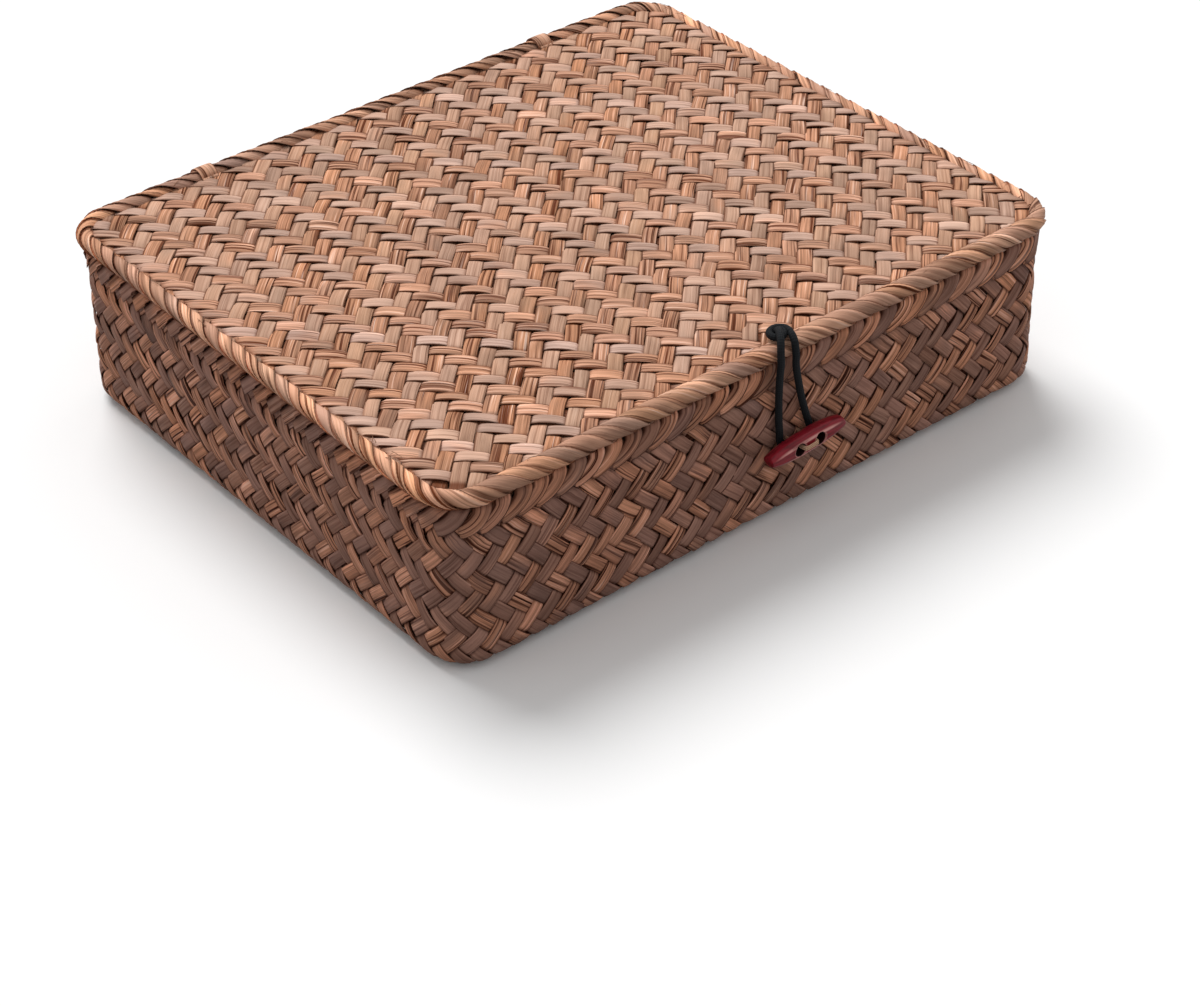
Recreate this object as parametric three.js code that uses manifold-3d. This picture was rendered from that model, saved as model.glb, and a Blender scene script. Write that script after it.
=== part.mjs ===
// Woven lidded box: a shallow tray and a flat lid, both plaited from dark sedge strips.
// The lid is lashed along the back and closed in front by an elastic loop behind a wooden toggle.
// Millimetres, +Z up. The origin is the middle of the tray's underside, and the front faces -Y.

import * as THREE from "three";
import { mergeVertices } from "three/addons/utils/BufferGeometryUtils.js";
import Module from "manifold-3d";

const wasm = await Module();
wasm.setup();

// Whole box, measured over the lid's rim
const boxLength = 300;
const boxWidth = 247;
const boxHeight = 77;
const cornerRadius = 19;
const cornerSteps = 8;
const seatGap = 0.3; // between two pieces that lie against each other
const overrun = 2; // how far a cutter runs past what it cuts
const holeSides = 16;

// Tray: an outer mat, a lining mat, a flat cane hoop at the rim and the strip border over it
const wallInset = 2.8; // from the lid's rim in to the wall's outer face, at the border
const wallFlare = 1; // how much further out the wall stands at its foot
const trayMatThickness = 2.2;
const trayLiningThickness = 1.4;
const footRadius = 7;
const footSteps = 4;
const borderDepth = 11.7;
const borderThickness = 1.1;
const borderTopThickness = 1;
const borderProud = 0.6; // how far the border stands out from the wall
const borderRounding = 0.9;
const hoopHeight = 9.4;

// Lid: a top mat and an under mat, held at the edge in a round rim of cane bound with strips
const rimRadius = 4;
const rimCaneRadius = 1.9;
const rimCaneSides = 8;
const rimWrapDip = 0.6; // depth of the step where one strip laps the next
const rimWraps = 108;
const rimWrapSlant = 7; // how far a strip runs along the rim while it goes round it
const rimWrapSides = 6;
const rimWrapInnerSides = 5;
const lidMatThickness = 1.6;
const lidLiningThickness = 1.4;

// Lashings at the back, which are the hinge
const lashingWidth = 8;
const lashingThickness = 1;
const lashingSpacing = 170;
const lashingDrop = 3; // below the border, where the strip goes through the wall
const lashingArcSteps = 8;

// Elastic closing loop and its knot on the lid
const cordDiameter = 2.8;
const cordSides = 8;
const cordSteps = 50;
const cordPlay = 0.8; // room for the cord between the wall and the toggle, before and behind it
const knotX = 4.2;
const knotFromRim = 3.6; // from the rim's inner edge in to the hole that the cord comes out of
const knotRise = 2.2; // height of the knot's core over the lid
const knotLengthShare = 0.9; // of the cord's diameter, half the length of the knot's core
const knotSides = 12;
const knotRings = 8;
const curlSteps = 14;
const stubSteps = 5;
const stopKnotDrop = 2.2; // depth of the stop knot under the lid

// Toggle, sewn on through two holes with one doubled thread
const toggleX = 9.5;
const toggleZ = 34.5;
const toggleLength = 36;
const toggleHeight = 9;
const toggleDepth = 7;
const toggleHoleRadius = 2;
const toggleHoleSides = 20;
const toggleHoleSpacing = 9.6;
const threadDiameter = 1.6;
const threadSides = 8;
const threadCornerRadius = 1.5;
const threadCornerSteps = 3;
const threadKnotRadius = 1.9;

// Worked out from the sizes above
const borderTop = boxHeight - rimRadius - rimRadius - seatGap;
const borderFoot = borderTop - borderDepth;
const borderInset = wallInset - borderProud;
const rimCentreHeight = boxHeight - rimRadius;
const rimBoreRadius = (rimCaneRadius + seatGap) / Math.cos(Math.PI / rimWrapInnerSides);
const lidTop = rimCentreHeight + seatGap / 2 + lidMatThickness;
const lidUnderside = rimCentreHeight - seatGap / 2 - lidLiningThickness;
const liningInset = wallInset + trayMatThickness + seatGap;
const borderInnerInset = liningInset + trayLiningThickness + seatGap;
const knotInset = rimRadius + rimRadius + knotFromRim;
const toggleStandoff = cordDiameter + cordPlay;

// How far in from the lid's rim the wall's outer face stands at a height.
function wallInsetAt(height) {
  return wallInset - wallFlare * (1 - height / borderFoot);
}

// The four corners of the plan, each with the direction of its centre and its first quarter turn.
const planCorners = [
  [1, 1],
  [-1, 1],
  [-1, -1],
  [1, -1],
].map(([sideX, sideY], quarter) => ({
  x: sideX * (boxLength / 2 - cornerRadius),
  y: sideY * (boxWidth / 2 - cornerRadius),
  from: (quarter * Math.PI) / 2,
}));

// The box's plan as a ring of points, drawn in from the outside of the lid's rim.
function planRing(inset, height) {
  const radius = cornerRadius - inset;
  return planCorners.flatMap(({ x, y, from }) =>
    Array.from({ length: cornerSteps + 1 }, (_, step) => {
      const turn = from + ((Math.PI / 2) * step) / cornerSteps;
      return new THREE.Vector3(x + radius * Math.cos(turn), y + radius * Math.sin(turn), height);
    }),
  );
}

// The same plan as one curve, whose length can be measured off evenly.
function planCurve(inset) {
  const outline = new THREE.Shape();
  outline.moveTo(boxLength / 2 - inset, cornerRadius - boxWidth / 2);
  outline.lineTo(boxLength / 2 - inset, boxWidth / 2 - cornerRadius);
  planCorners.forEach(({ x, y, from }) => {
    outline.absarc(x, y, cornerRadius - inset, from, from + Math.PI / 2);
  });
  return outline;
}

// A closed skin over rings of equal count: joined end to end, or with both ends capped.
function loft(rings, endless) {
  const count = rings[0].length;
  const corners = rings.flat();
  const faces = [];
  const last = endless ? rings.length : rings.length - 1;
  for (let ring = 0; ring < last; ring++) {
    const next = (ring + 1) % rings.length;
    for (let i = 0; i < count; i++) {
      const j = (i + 1) % count;
      const [a, b] = [ring * count + i, ring * count + j];
      const [c, d] = [next * count + j, next * count + i];
      faces.push(a, b, c, a, c, d);
    }
  }
  if (!endless) {
    const top = (rings.length - 1) * count;
    const centres = [rings[0], rings[rings.length - 1]].map((ring) =>
      ring.reduce((sum, point) => sum.add(point), new THREE.Vector3()).divideScalar(count),
    );
    const first = corners.push(centres[0]) - 1;
    const final = corners.push(centres[1]) - 1;
    for (let i = 0; i < count; i++) {
      const j = (i + 1) % count;
      faces.push(first, j, i, final, top + i, top + j);
    }
  }
  const geometry = new THREE.BufferGeometry().setFromPoints(corners);
  geometry.setIndex(faces);
  return facingOut(geometry);
}

// Turns every face round where the skin encloses a negative volume.
function facingOut(geometry) {
  const place = geometry.getAttribute("position");
  const index = geometry.getIndex();
  const [a, b, c] = [new THREE.Vector3(), new THREE.Vector3(), new THREE.Vector3()];
  let volume = 0;
  for (let i = 0; i < index.count; i += 3) {
    a.fromBufferAttribute(place, index.getX(i));
    b.fromBufferAttribute(place, index.getX(i + 1));
    c.fromBufferAttribute(place, index.getX(i + 2));
    volume += a.dot(b.cross(c));
  }
  if (volume < 0) index.array.reverse();
  return geometry;
}

// A section of [inset, height] points carried round the plan.
function aroundPlan(section) {
  return loft(section.map(([inset, height]) => planRing(inset, height)), true);
}

// A solid under boolean work, made from a closed geometry whose shared corners are merged.
function solidOf(geometry) {
  const bare = new THREE.BufferGeometry().setAttribute("position", geometry.getAttribute("position"));
  bare.setIndex(geometry.getIndex());
  const merged = mergeVertices(bare);
  return new wasm.Manifold(
    new wasm.Mesh({
      numProp: 3,
      vertProperties: new Float32Array(merged.getAttribute("position").array),
      triVerts: new Uint32Array(merged.getIndex().array),
    }),
  );
}

function geometryOf(solid) {
  const mesh = solid.getMesh();
  const places = new Float32Array(mesh.vertProperties);
  const geometry = new THREE.BufferGeometry();
  geometry.setAttribute("position", new THREE.BufferAttribute(places, mesh.numProp));
  geometry.setIndex(new THREE.BufferAttribute(new Uint32Array(mesh.triVerts), 1));
  return geometry;
}

function joined(geometries) {
  const solids = geometries.map(solidOf);
  return geometryOf(solids.reduce((sum, solid) => sum.add(solid)));
}

function cut(geometry, cutters) {
  return geometryOf(cutters.map(solidOf).reduce((rest, cutter) => rest.subtract(cutter), solidOf(geometry)));
}

function knotBall(radiusX, radiusY, radiusZ, place) {
  const geometry = new THREE.SphereGeometry(1, knotSides, knotRings);
  return geometry.scale(radiusX, radiusY, radiusZ).translate(place.x, place.y, place.z);
}

// A round section carried along an open curve.
function tube(curve, radius, sides, steps) {
  const section = new THREE.Shape();
  for (let i = 0; i < sides; i++) {
    const turn = (2 * Math.PI * i) / sides;
    const [x, y] = [radius * Math.cos(turn), radius * Math.sin(turn)];
    if (i) section.lineTo(x, y);
    else section.moveTo(x, y);
  }
  return new THREE.ExtrudeGeometry(section, { steps, extrudePath: curve, bevelEnabled: false });
}

// The slots in wall and lid that the lashings go through.
const lashingXs = [-lashingSpacing / 2, lashingSpacing / 2];
const lashingHeight = borderFoot - lashingDrop;
const lashingInnerInset = rimRadius + rimRadius + seatGap + lashingThickness / 2;

function wallSlot(x) {
  const slot = new THREE.BoxGeometry(
    lashingWidth + 2 * seatGap,
    2 * (borderInnerInset + overrun),
    lashingThickness + 2 * seatGap,
  );
  return slot.translate(x, boxWidth / 2, lashingHeight);
}

function lidSlot(x) {
  const slot = new THREE.BoxGeometry(
    lashingWidth + 2 * seatGap,
    lashingThickness + 2 * seatGap,
    lidTop - lidUnderside + 2 * overrun,
  );
  return slot.translate(x, boxWidth / 2 - lashingInnerInset, (lidTop + lidUnderside) / 2);
}

// The two holes through the front wall that the toggle's thread is sewn through.
const threadXs = [toggleX - toggleHoleSpacing / 2, toggleX + toggleHoleSpacing / 2];

function sewingHoles() {
  const radius = threadDiameter / 2 + seatGap;
  const length = 2 * (borderInnerInset + overrun);
  return threadXs.map((x) =>
    new THREE.CylinderGeometry(radius, radius, length, holeSides).translate(x, -boxWidth / 2, toggleZ),
  );
}

// Where the closing loop's cord comes up through the lid.
const knotPlace = new THREE.Vector3(knotX, knotInset - boxWidth / 2, lidTop + knotRise);

function cordHole() {
  const radius = cordDiameter / 2 + 2 * seatGap;
  const length = lidTop - lidUnderside + 2 * overrun;
  const hole = new THREE.CylinderGeometry(radius, radius, length, holeSides).rotateX(Math.PI / 2);
  return hole.translate(knotPlace.x, knotPlace.y, (lidTop + lidUnderside) / 2);
}

// A mat of the tray, holed for lashings and thread: its rounded foot starts at a depth inside the
// tray's outer face, and its upper edge is given as [inset, height] points, outer side first.
function trayMat(depth, thickness, upperEdge) {
  const outside = [];
  const inside = [];
  const faceInset = wallInsetAt(footRadius) + depth;
  const outerRadius = footRadius - depth;
  const innerRadius = outerRadius - thickness;
  for (let step = 0; step <= footSteps; step++) {
    const turn = ((Math.PI / 2) * step) / footSteps;
    const [across, down] = [1 - Math.sin(turn), 1 - Math.cos(turn)];
    outside.push([faceInset + outerRadius * across, depth + outerRadius * down]);
    inside.push([faceInset + thickness + innerRadius * across, depth + thickness + innerRadius * down]);
  }
  const section = [...outside, ...upperEdge, ...inside.reverse()];
  const skin = loft(section.map(([inset, height]) => planRing(inset, height)), false);
  return cut(skin, [...lashingXs.map(wallSlot), ...sewingHoles()]);
}

// Tray, outer mat: its wall ends in a thinner lip that goes under the border.
function trayWeave() {
  const lipFoot = borderFoot - seatGap;
  const lipInset = borderInset + borderThickness + seatGap;
  const lipTop = borderTop - borderTopThickness - seatGap;
  return trayMat(0, trayMatThickness, [
    [wallInset, lipFoot],
    [lipInset, lipFoot],
    [lipInset, lipTop],
    [wallInset + trayMatThickness, lipTop],
  ]);
}

// Tray, lining mat: the same form inside the outer mat, ending under the cane hoop.
function trayLining() {
  const top = hoopFoot() - seatGap;
  return trayMat(trayMatThickness + seatGap, trayLiningThickness, [
    [liningInset, top],
    [liningInset + trayLiningThickness, top],
  ]);
}

function hoopFoot() {
  return borderTop - borderTopThickness - seatGap - hoopHeight;
}

// Tray rim, flat split cane: it stiffens the rim on top of the lining, hidden by the border.
function trayRimCane() {
  const [outer, inner] = [liningInset, liningInset + trayLiningThickness];
  const [low, high] = [hoopFoot(), hoopFoot() + hoopHeight];
  return aroundPlan([
    [outer, low],
    [outer, high],
    [inner, high],
    [inner, low],
  ]);
}

// Tray rim, strip border: a channel folded over mat and hoop, with rounded shoulders.
function trayRimBorder() {
  const inner = borderInnerInset + borderThickness;
  const skirtInset = borderInset + borderThickness;
  const roof = borderTop - borderTopThickness;
  return aroundPlan([
    [borderInset, borderFoot],
    [borderInset, borderTop - borderRounding],
    [borderInset + borderRounding, borderTop],
    [inner - borderRounding, borderTop],
    [inner, borderTop - borderRounding],
    [inner, borderFoot],
    [borderInnerInset, borderFoot],
    [borderInnerInset, roof],
    [skirtInset, roof],
    [skirtInset, borderFoot],
  ]);
}

// A flat mat of the lid, cut for the lashings and the closing cord.
function lidMat(low, high) {
  const inset = rimRadius + rimCaneRadius + seatGap;
  const plate = loft([planRing(inset, low), planRing(inset, high)], false);
  return cut(plate, [...lashingXs.map(lidSlot), cordHole()]);
}

function lidWeave() {
  return lidMat(lidTop - lidMatThickness, lidTop);
}

function lidLining() {
  return lidMat(lidUnderside, lidUnderside + lidLiningThickness);
}

// Lid rim, round cane: the core that the strips are bound round.
function lidRimCane() {
  const section = [];
  for (let i = 0; i < rimCaneSides; i++) {
    const turn = (2 * Math.PI * i) / rimCaneSides;
    const inset = rimRadius + rimCaneRadius * Math.cos(turn);
    section.push([inset, rimCentreHeight - rimCaneRadius * Math.sin(turn)]);
  }
  return aroundPlan(section);
}

// Lid rim, binding: strips wound slantwise round cane and mats, each lapping the one before it.
// The section is open towards the lid, where the mats go in. Three stations make one strip: the
// step up on the strip before, its crown, and its trailing edge.
const strandShares = [0, 0.16, 0.72];
const dipShares = [1, 0, 0.25];

function lidRimWrap() {
  const centreLine = planCurve(rimRadius);
  const stationPlaces = [];
  for (let wrap = 0; wrap < rimWraps; wrap++) {
    strandShares.forEach((share, k) => stationPlaces.push([(wrap + share) / rimWraps, dipShares[k]]));
  }
  const slotHalfHeight = lidTop - rimCentreHeight + seatGap;
  const outerLip = Math.asin(slotHalfHeight / (rimRadius - rimWrapDip));
  const innerLip = Math.asin(slotHalfHeight / rimBoreRadius);
  const section = [];
  for (let i = 0; i < rimWrapSides; i++) {
    const share = i / (rimWrapSides - 1);
    section.push({ turn: outerLip + share * (2 * Math.PI - 2 * outerLip), radius: rimRadius, dips: true });
  }
  for (let i = 0; i < rimWrapInnerSides; i++) {
    const share = 1 - i / (rimWrapInnerSides - 1);
    section.push({ turn: innerLip + share * (2 * Math.PI - 2 * innerLip), radius: rimBoreRadius });
  }
  const length = centreLine.getLength();
  const rings = section.map(({ turn, radius, dips }) =>
    stationPlaces.map(([place, dip]) => {
      const slide = (rimWrapSlant / length) * (turn / Math.PI - 1);
      const along = (place + slide + 1) % 1;
      const point = centreLine.getPointAt(along);
      const tangent = centreLine.getTangentAt(along);
      const reach = dips ? radius - dip * rimWrapDip : radius;
      const inwards = reach * Math.cos(turn);
      return new THREE.Vector3(
        point.x - tangent.y * inwards,
        point.y + tangent.x * inwards,
        rimCentreHeight + reach * Math.sin(turn),
      );
    }),
  );
  return loft(rings, true);
}

// Hinge lashing: a flat strip tied in a loop through the wall and the lid, round border and rim.
function hingeLashing(x) {
  const back = boxWidth / 2;
  const half = lashingThickness / 2;
  const ringRadius = rimRadius + seatGap + half;
  const outerY = back - borderInset + seatGap + half;
  const innerY = back - lashingInnerInset;
  const points = [[innerY, lidTop]];
  const [innerTurn, outerTurn] = [(5 * Math.PI) / 6, -Math.PI / 6];
  for (let i = 0; i <= lashingArcSteps; i++) {
    const turn = innerTurn + ((outerTurn - innerTurn) * i) / lashingArcSteps;
    points.push([
      back - rimRadius + ringRadius * Math.cos(turn),
      rimCentreHeight + ringRadius * Math.sin(turn),
    ]);
  }
  const bend = lashingDrop / 2;
  points.push([outerY, borderTop - lashingThickness]);
  points.push([outerY, lashingHeight + bend]);
  points.push([outerY - half, lashingHeight + half / 2]);
  points.push([outerY - bend, lashingHeight]);
  points.push([innerY + bend, lashingHeight]);
  points.push([innerY + half, lashingHeight + half / 2]);
  points.push([innerY, lashingHeight + bend]);
  const sides = [half, -half].map((offset) =>
    points.map((point, i) => {
      const before = points[(i + points.length - 1) % points.length];
      const after = points[(i + 1) % points.length];
      const run = new THREE.Vector2(after[0] - before[0], after[1] - before[1]).normalize();
      return new THREE.Vector2(point[0] - run.y * offset, point[1] + run.x * offset);
    }),
  );
  const rings = [
    [sides[0], -lashingWidth / 2],
    [sides[0], lashingWidth / 2],
    [sides[1], lashingWidth / 2],
    [sides[1], -lashingWidth / 2],
  ].map(([outline, shift]) => outline.map((point) => new THREE.Vector3(x + shift, point.x, point.y)));
  return loft(rings, true);
}

// Closing loop: round elastic cord from the knot over the rim, down the wall, round the toggle's
// threads and back up. Its middle line is laid by hand, left run first.
const loopRoute = [
  [3.4, -116.4, 78.1],
  [2.3, -118.7, 78.8],
  [1.6, -121.6, 78.45],
  [1.1, -124.05, 76.7],
  [0.9, -125.3, 73.6],
  [0.9, -125.25, 70.6],
  [1, -124.65, 66.6],
  [1.2, -124, 60],
  [1.5, -123.4, 52],
  [1.8, -123.05, 44],
  [2.05, -122.95, 38.5],
  [2.2, -122.95, 34.5],
  [3.2, -122.95, 30.8],
  [5.85, -122.95, 28.1],
  [9.5, -122.95, 27.1],
  [13.15, -122.95, 28.1],
  [15.8, -122.95, 30.8],
  [16.8, -122.95, 34.5],
  [16.4, -122.95, 38.3],
  [15.2, -123.05, 42.5],
  [12.9, -123.35, 50],
  [10.2, -123.85, 58.5],
  [7.7, -124.6, 66.6],
  [6.5, -125.25, 70.6],
  [5.9, -125.3, 73.6],
  [5.7, -124.05, 76.7],
  [5.9, -121.6, 78.45],
  [6.4, -118.7, 78.8],
  [7.4, -116.4, 78.1],
];

function closureLoop() {
  const curve = new THREE.CatmullRomCurve3(loopRoute.map((point) => new THREE.Vector3(...point)));
  return tube(curve, cordDiameter / 2, cordSides, cordSteps);
}

// Knot of the closing loop: one run of cord curls over the other, both go down through the lid,
// and a stop knot holds them under it. Places are shares of the cord's diameter from the core.
const curlShares = [
  [1.12, -1.4, 0.42],
  [1.35, -0.4, 0.62],
  [0.8, 0.42, 0.75],
  [-0.2, 0.55, 0.68],
  [-0.95, -0.05, 0.4],
  [-1, -0.8, 0],
  [-0.3, -0.75, -0.1],
];
const stubShares = [
  [-0.25, -1.4, 0.4],
  [-0.2, -0.7, 0.3],
  [0, 0, 0],
];

function loopKnot() {
  const radius = cordDiameter / 2;
  const [curl, stub] = [curlShares, stubShares].map(
    (shares) =>
      new THREE.CatmullRomCurve3(
        shares.map((share) => knotPlace.clone().addScaledVector(new THREE.Vector3(...share), cordDiameter)),
      ),
  );
  const stopPlace = knotPlace.clone().setZ(lidUnderside - stopKnotDrop);
  const stem = new THREE.CylinderGeometry(radius, radius, knotPlace.z - stopPlace.z, knotSides);
  stem.rotateX(Math.PI / 2).translate(knotPlace.x, knotPlace.y, (knotPlace.z + stopPlace.z) / 2);
  const halfLength = cordDiameter * knotLengthShare;
  return joined([
    knotBall(cordDiameter, halfLength, knotRise - seatGap, knotPlace),
    knotBall(cordDiameter, halfLength, stopKnotDrop - seatGap, stopPlace),
    stem,
    tube(curl, radius, cordSides, curlSteps),
    tube(stub, radius, cordSides, stubSteps),
  ]);
}

// Toggle: a turned bar, fat in the middle and blunt at the ends, planed flat in front and behind.
// The section is given as shares of half the depth (front negative) and half the height.
const toggleSectionShares = [
  [-1, 0],
  [-1, 0.55],
  [-0.82, 0.78],
  [-0.4, 0.95],
  [0.1, 1],
  [0.6, 0.93],
  [0.92, 0.74],
  [1, 0.5],
  [1, 0],
];
const toggleStationShares = [0, 0.2, 0.4, 0.6, 0.78, 0.91, 0.98, 1];
const toggleFullnessShares = [1, 0.985, 0.94, 0.85, 0.73, 0.6, 0.5, 0.4];

function toggleMiddle() {
  return toggleDepth / 2 + toggleStandoff + boxWidth / 2 - wallInsetAt(toggleZ);
}

function toggleButton() {
  const lower = toggleSectionShares.slice(1, -1).reverse();
  const outline = [...toggleSectionShares, ...lower.map(([depth, height]) => [depth, -height])];
  const stations = [
    ...toggleStationShares.map((share, i) => [-share, toggleFullnessShares[i]]).reverse(),
    ...toggleStationShares.map((share, i) => [share, toggleFullnessShares[i]]).slice(1),
  ];
  const rings = stations.map(([share, fullness]) =>
    outline.map(
      ([depth, height]) =>
        new THREE.Vector3(
          toggleX + (share * toggleLength) / 2,
          (depth * ((1 + fullness) / 2) * toggleDepth) / 2 - toggleMiddle(),
          toggleZ + (height * fullness * toggleHeight) / 2,
        ),
    ),
  );
  const drillLength = toggleDepth + 2 * overrun;
  const drills = threadXs.map((x) =>
    new THREE.CylinderGeometry(toggleHoleRadius, toggleHoleRadius, drillLength, toggleHoleSides).translate(
      x,
      -toggleMiddle(),
      toggleZ,
    ),
  );
  return cut(loft(rings, false), drills);
}

// Toggle thread: out through one hole, across the front, back through the other, and knotted inside.
function toggleThread() {
  const radius = threadDiameter / 2;
  const front = -toggleMiddle() - toggleDepth / 2 - seatGap - radius;
  const liningFace = wallInsetAt(toggleZ) + trayMatThickness + seatGap + trayLiningThickness;
  const rear = liningFace + seatGap + radius - boxWidth / 2;
  const [left, right] = threadXs;
  const bends = [
    { x: left + threadCornerRadius, y: rear - threadCornerRadius },
    { x: left + threadCornerRadius, y: front + threadCornerRadius },
    { x: right - threadCornerRadius, y: front + threadCornerRadius },
    { x: right - threadCornerRadius, y: rear - threadCornerRadius },
  ];
  const places = bends.flatMap(({ x, y }, quarter) =>
    Array.from({ length: threadCornerSteps + 1 }, (_, i) => {
      const turn = (Math.PI / 2) * (1 + quarter + i / threadCornerSteps);
      return [x + threadCornerRadius * Math.cos(turn), y + threadCornerRadius * Math.sin(turn), turn];
    }),
  );
  const rings = places.map(([x, y, turn]) =>
    Array.from({ length: threadSides }, (_, i) => {
      const round = (2 * Math.PI * i) / threadSides;
      const out = radius * Math.cos(round);
      return new THREE.Vector3(
        x + out * Math.cos(turn),
        y + out * Math.sin(turn),
        toggleZ + radius * Math.sin(round),
      );
    }),
  );
  const knotMiddle = new THREE.Vector3(toggleX, rear, toggleZ);
  return joined([loft(rings, true), knotBall(threadKnotRadius, radius, threadKnotRadius, knotMiddle)]);
}

function piece(name, geometry, color, roughness) {
  const material = new THREE.MeshStandardMaterial({ color, roughness, metalness: 0 });
  const mesh = new THREE.Mesh(geometry, material);
  mesh.name = name;
  return mesh;
}

const darkSedge = 0x6e4834;
const paleSedge = 0x9c6f52;
const insideSedge = 0x8a6348;
const cane = 0xb98d5a;
const blackElastic = 0x1b1d1e;
const redLacquer = 0x5c1a20;
const beigeThread = 0xb59a7c;

const tray = new THREE.Group();
tray.add(
  piece("tray_weave", trayWeave(), darkSedge, 0.7),
  piece("tray_lining", trayLining(), insideSedge, 0.75),
  piece("tray_rim_cane", trayRimCane(), cane, 0.6),
  piece("tray_rim_border", trayRimBorder(), darkSedge, 0.7),
  piece("hinge_lashing_left", hingeLashing(lashingXs[0]), paleSedge, 0.7),
  piece("hinge_lashing_right", hingeLashing(lashingXs[1]), paleSedge, 0.7),
  piece("toggle_thread", toggleThread(), beigeThread, 0.9),
);

const lid = new THREE.Group();
lid.add(
  piece("lid_weave", lidWeave(), paleSedge, 0.7),
  piece("lid_lining", lidLining(), insideSedge, 0.75),
  piece("lid_rim_cane", lidRimCane(), cane, 0.6),
  piece("lid_rim_wrap", lidRimWrap(), paleSedge, 0.65),
  piece("loop_knot", loopKnot(), blackElastic, 0.8),
  piece("closure_loop", closureLoop(), blackElastic, 0.8),
);

const box = new THREE.Group();
box.add(tray, lid, piece("toggle_button", toggleButton(), redLacquer, 0.3));

export default box;
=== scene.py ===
import math

import bpy
import numpy as np
from mathutils import Matrix, Vector


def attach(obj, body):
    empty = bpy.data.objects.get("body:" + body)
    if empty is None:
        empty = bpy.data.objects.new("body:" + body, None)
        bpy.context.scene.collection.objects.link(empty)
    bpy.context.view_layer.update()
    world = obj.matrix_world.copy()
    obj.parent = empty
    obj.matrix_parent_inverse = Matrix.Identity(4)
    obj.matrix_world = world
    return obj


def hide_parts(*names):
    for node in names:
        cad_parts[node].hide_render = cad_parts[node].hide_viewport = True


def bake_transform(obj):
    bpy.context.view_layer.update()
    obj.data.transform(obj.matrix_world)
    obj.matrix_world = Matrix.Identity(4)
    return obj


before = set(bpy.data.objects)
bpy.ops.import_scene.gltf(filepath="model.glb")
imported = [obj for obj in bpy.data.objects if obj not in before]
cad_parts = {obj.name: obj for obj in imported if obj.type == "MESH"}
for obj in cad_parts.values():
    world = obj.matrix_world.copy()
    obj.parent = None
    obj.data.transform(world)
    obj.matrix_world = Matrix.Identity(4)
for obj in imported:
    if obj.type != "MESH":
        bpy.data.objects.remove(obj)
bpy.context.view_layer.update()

# Studio. The camera stands where the photograph was taken, left of the front and above the box.
# Soft light comes from above the back, and the pale floor looks white but gives back little light.
camera_place = Vector((-0.58494, -0.73382, 0.63194))
camera_forward = Vector((0.5101, 0.6218, -0.5943))
camera_right = Vector((0.768, -0.6403, -0.0107))
camera_lens = 84.69
sensor_width = 36
lamp_strength = 2.15
lamp_softness = math.radians(34)
lamp_tilt = (math.radians(-36), 0, math.radians(-10))
sky_strength = 0.52
floor_size = 12.0
floor_drop = -0.0004
floor_seen, floor_felt = 1.0, 0.24
paper_roughness, paper_specular = 0.9, 0.1


class Wire:
    """A socket of a material. Sums and products of wires add their own Math nodes."""

    def __init__(self, tree, socket=None):
        self.tree = tree
        self.socket = socket

    def add(self, kind, settings=None, sockets=None, out=0):
        """Adds a node: its settings first, then the values or wires of its sockets."""
        node = self.tree.nodes.new(kind)
        for name, value in (settings or {}).items():
            setattr(node, name, value)
        for name, value in (sockets or {}).items():
            self.plug(node.inputs[name], value)
        return Wire(self.tree, node.outputs[out])

    def plug(self, socket, value):
        if isinstance(value, Wire):
            self.tree.links.new(value.socket, socket)
        elif socket.type == "RGBA" and len(value) == 3:
            socket.default_value = (*value, 1)
        else:
            socket.default_value = value

    def math(self, operation, *others):
        return self.add("ShaderNodeMath", {"operation": operation}, dict(enumerate((self, *others))))

    def __add__(self, other):
        return self.math("ADD", other)

    def __sub__(self, other):
        return self.math("SUBTRACT", other)

    def __rsub__(self, other):
        return self.math("MULTIPLY_ADD", -1.0, other)

    def __mul__(self, other):
        return self.math("MULTIPLY", other)

    __radd__ = __add__
    __rmul__ = __mul__

    def step(self, low, high):
        """0 below low, 1 above high, and smooth between them."""
        ends = {"Value": self, "From Min": low, "From Max": high}
        return self.add("ShaderNodeMapRange", {"interpolation_type": "SMOOTHSTEP"}, ends)

    def parts(self):
        split = self.add("ShaderNodeSeparateXYZ", {}, {0: self})
        return [Wire(self.tree, socket) for socket in split.socket.node.outputs]

    def blend(self, first, second):
        """The first colour where this wire is 0 and the second where it is 1. A Mix node's colours
        are its inputs 6 and 7 and its output 2."""
        return self.add("ShaderNodeMix", {"data_type": "RGBA"}, {0: self, 6: first, 7: second}, 2)

    def scaled(self, factor):
        return self.add("ShaderNodeVectorMath", {"operation": "SCALE"}, {0: self, "Scale": factor})

    def times(self, other):
        return self.add("ShaderNodeVectorMath", {"operation": "MULTIPLY"}, {0: self, 1: other})

    def emboss(self, shader, strength, depth):
        """Gives the shader's surface a relief: this wire is its height."""
        relief = {"Strength": strength, "Distance": depth, "Height": self}
        self.plug(shader.inputs["Normal"], self.add("ShaderNodeBump", {}, relief))


def new_finish(name):
    """An empty material, a wire that starts its nodes, and its shader."""
    material = bpy.data.materials.new(name)
    material.use_nodes = True
    return material, Wire(material.node_tree), material.node_tree.nodes["Principled BSDF"]


def dress(piece, material):
    """Gives the piece this material all over."""
    piece.data.materials.clear()
    piece.data.materials.append(material)


bpy.ops.object.select_all(action="DESELECT")
bpy.ops.object.camera_add()
camera = bpy.context.object
camera.name = "camera"
camera.data.lens = camera_lens
camera.data.sensor_width = sensor_width
camera_turn = Matrix((camera_right, camera_right.cross(camera_forward), -camera_forward)).transposed()
camera.matrix_world = Matrix.Translation(camera_place) @ camera_turn.to_4x4()
bpy.context.scene.camera = camera
bpy.context.scene.view_settings.view_transform = "Standard"

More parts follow.
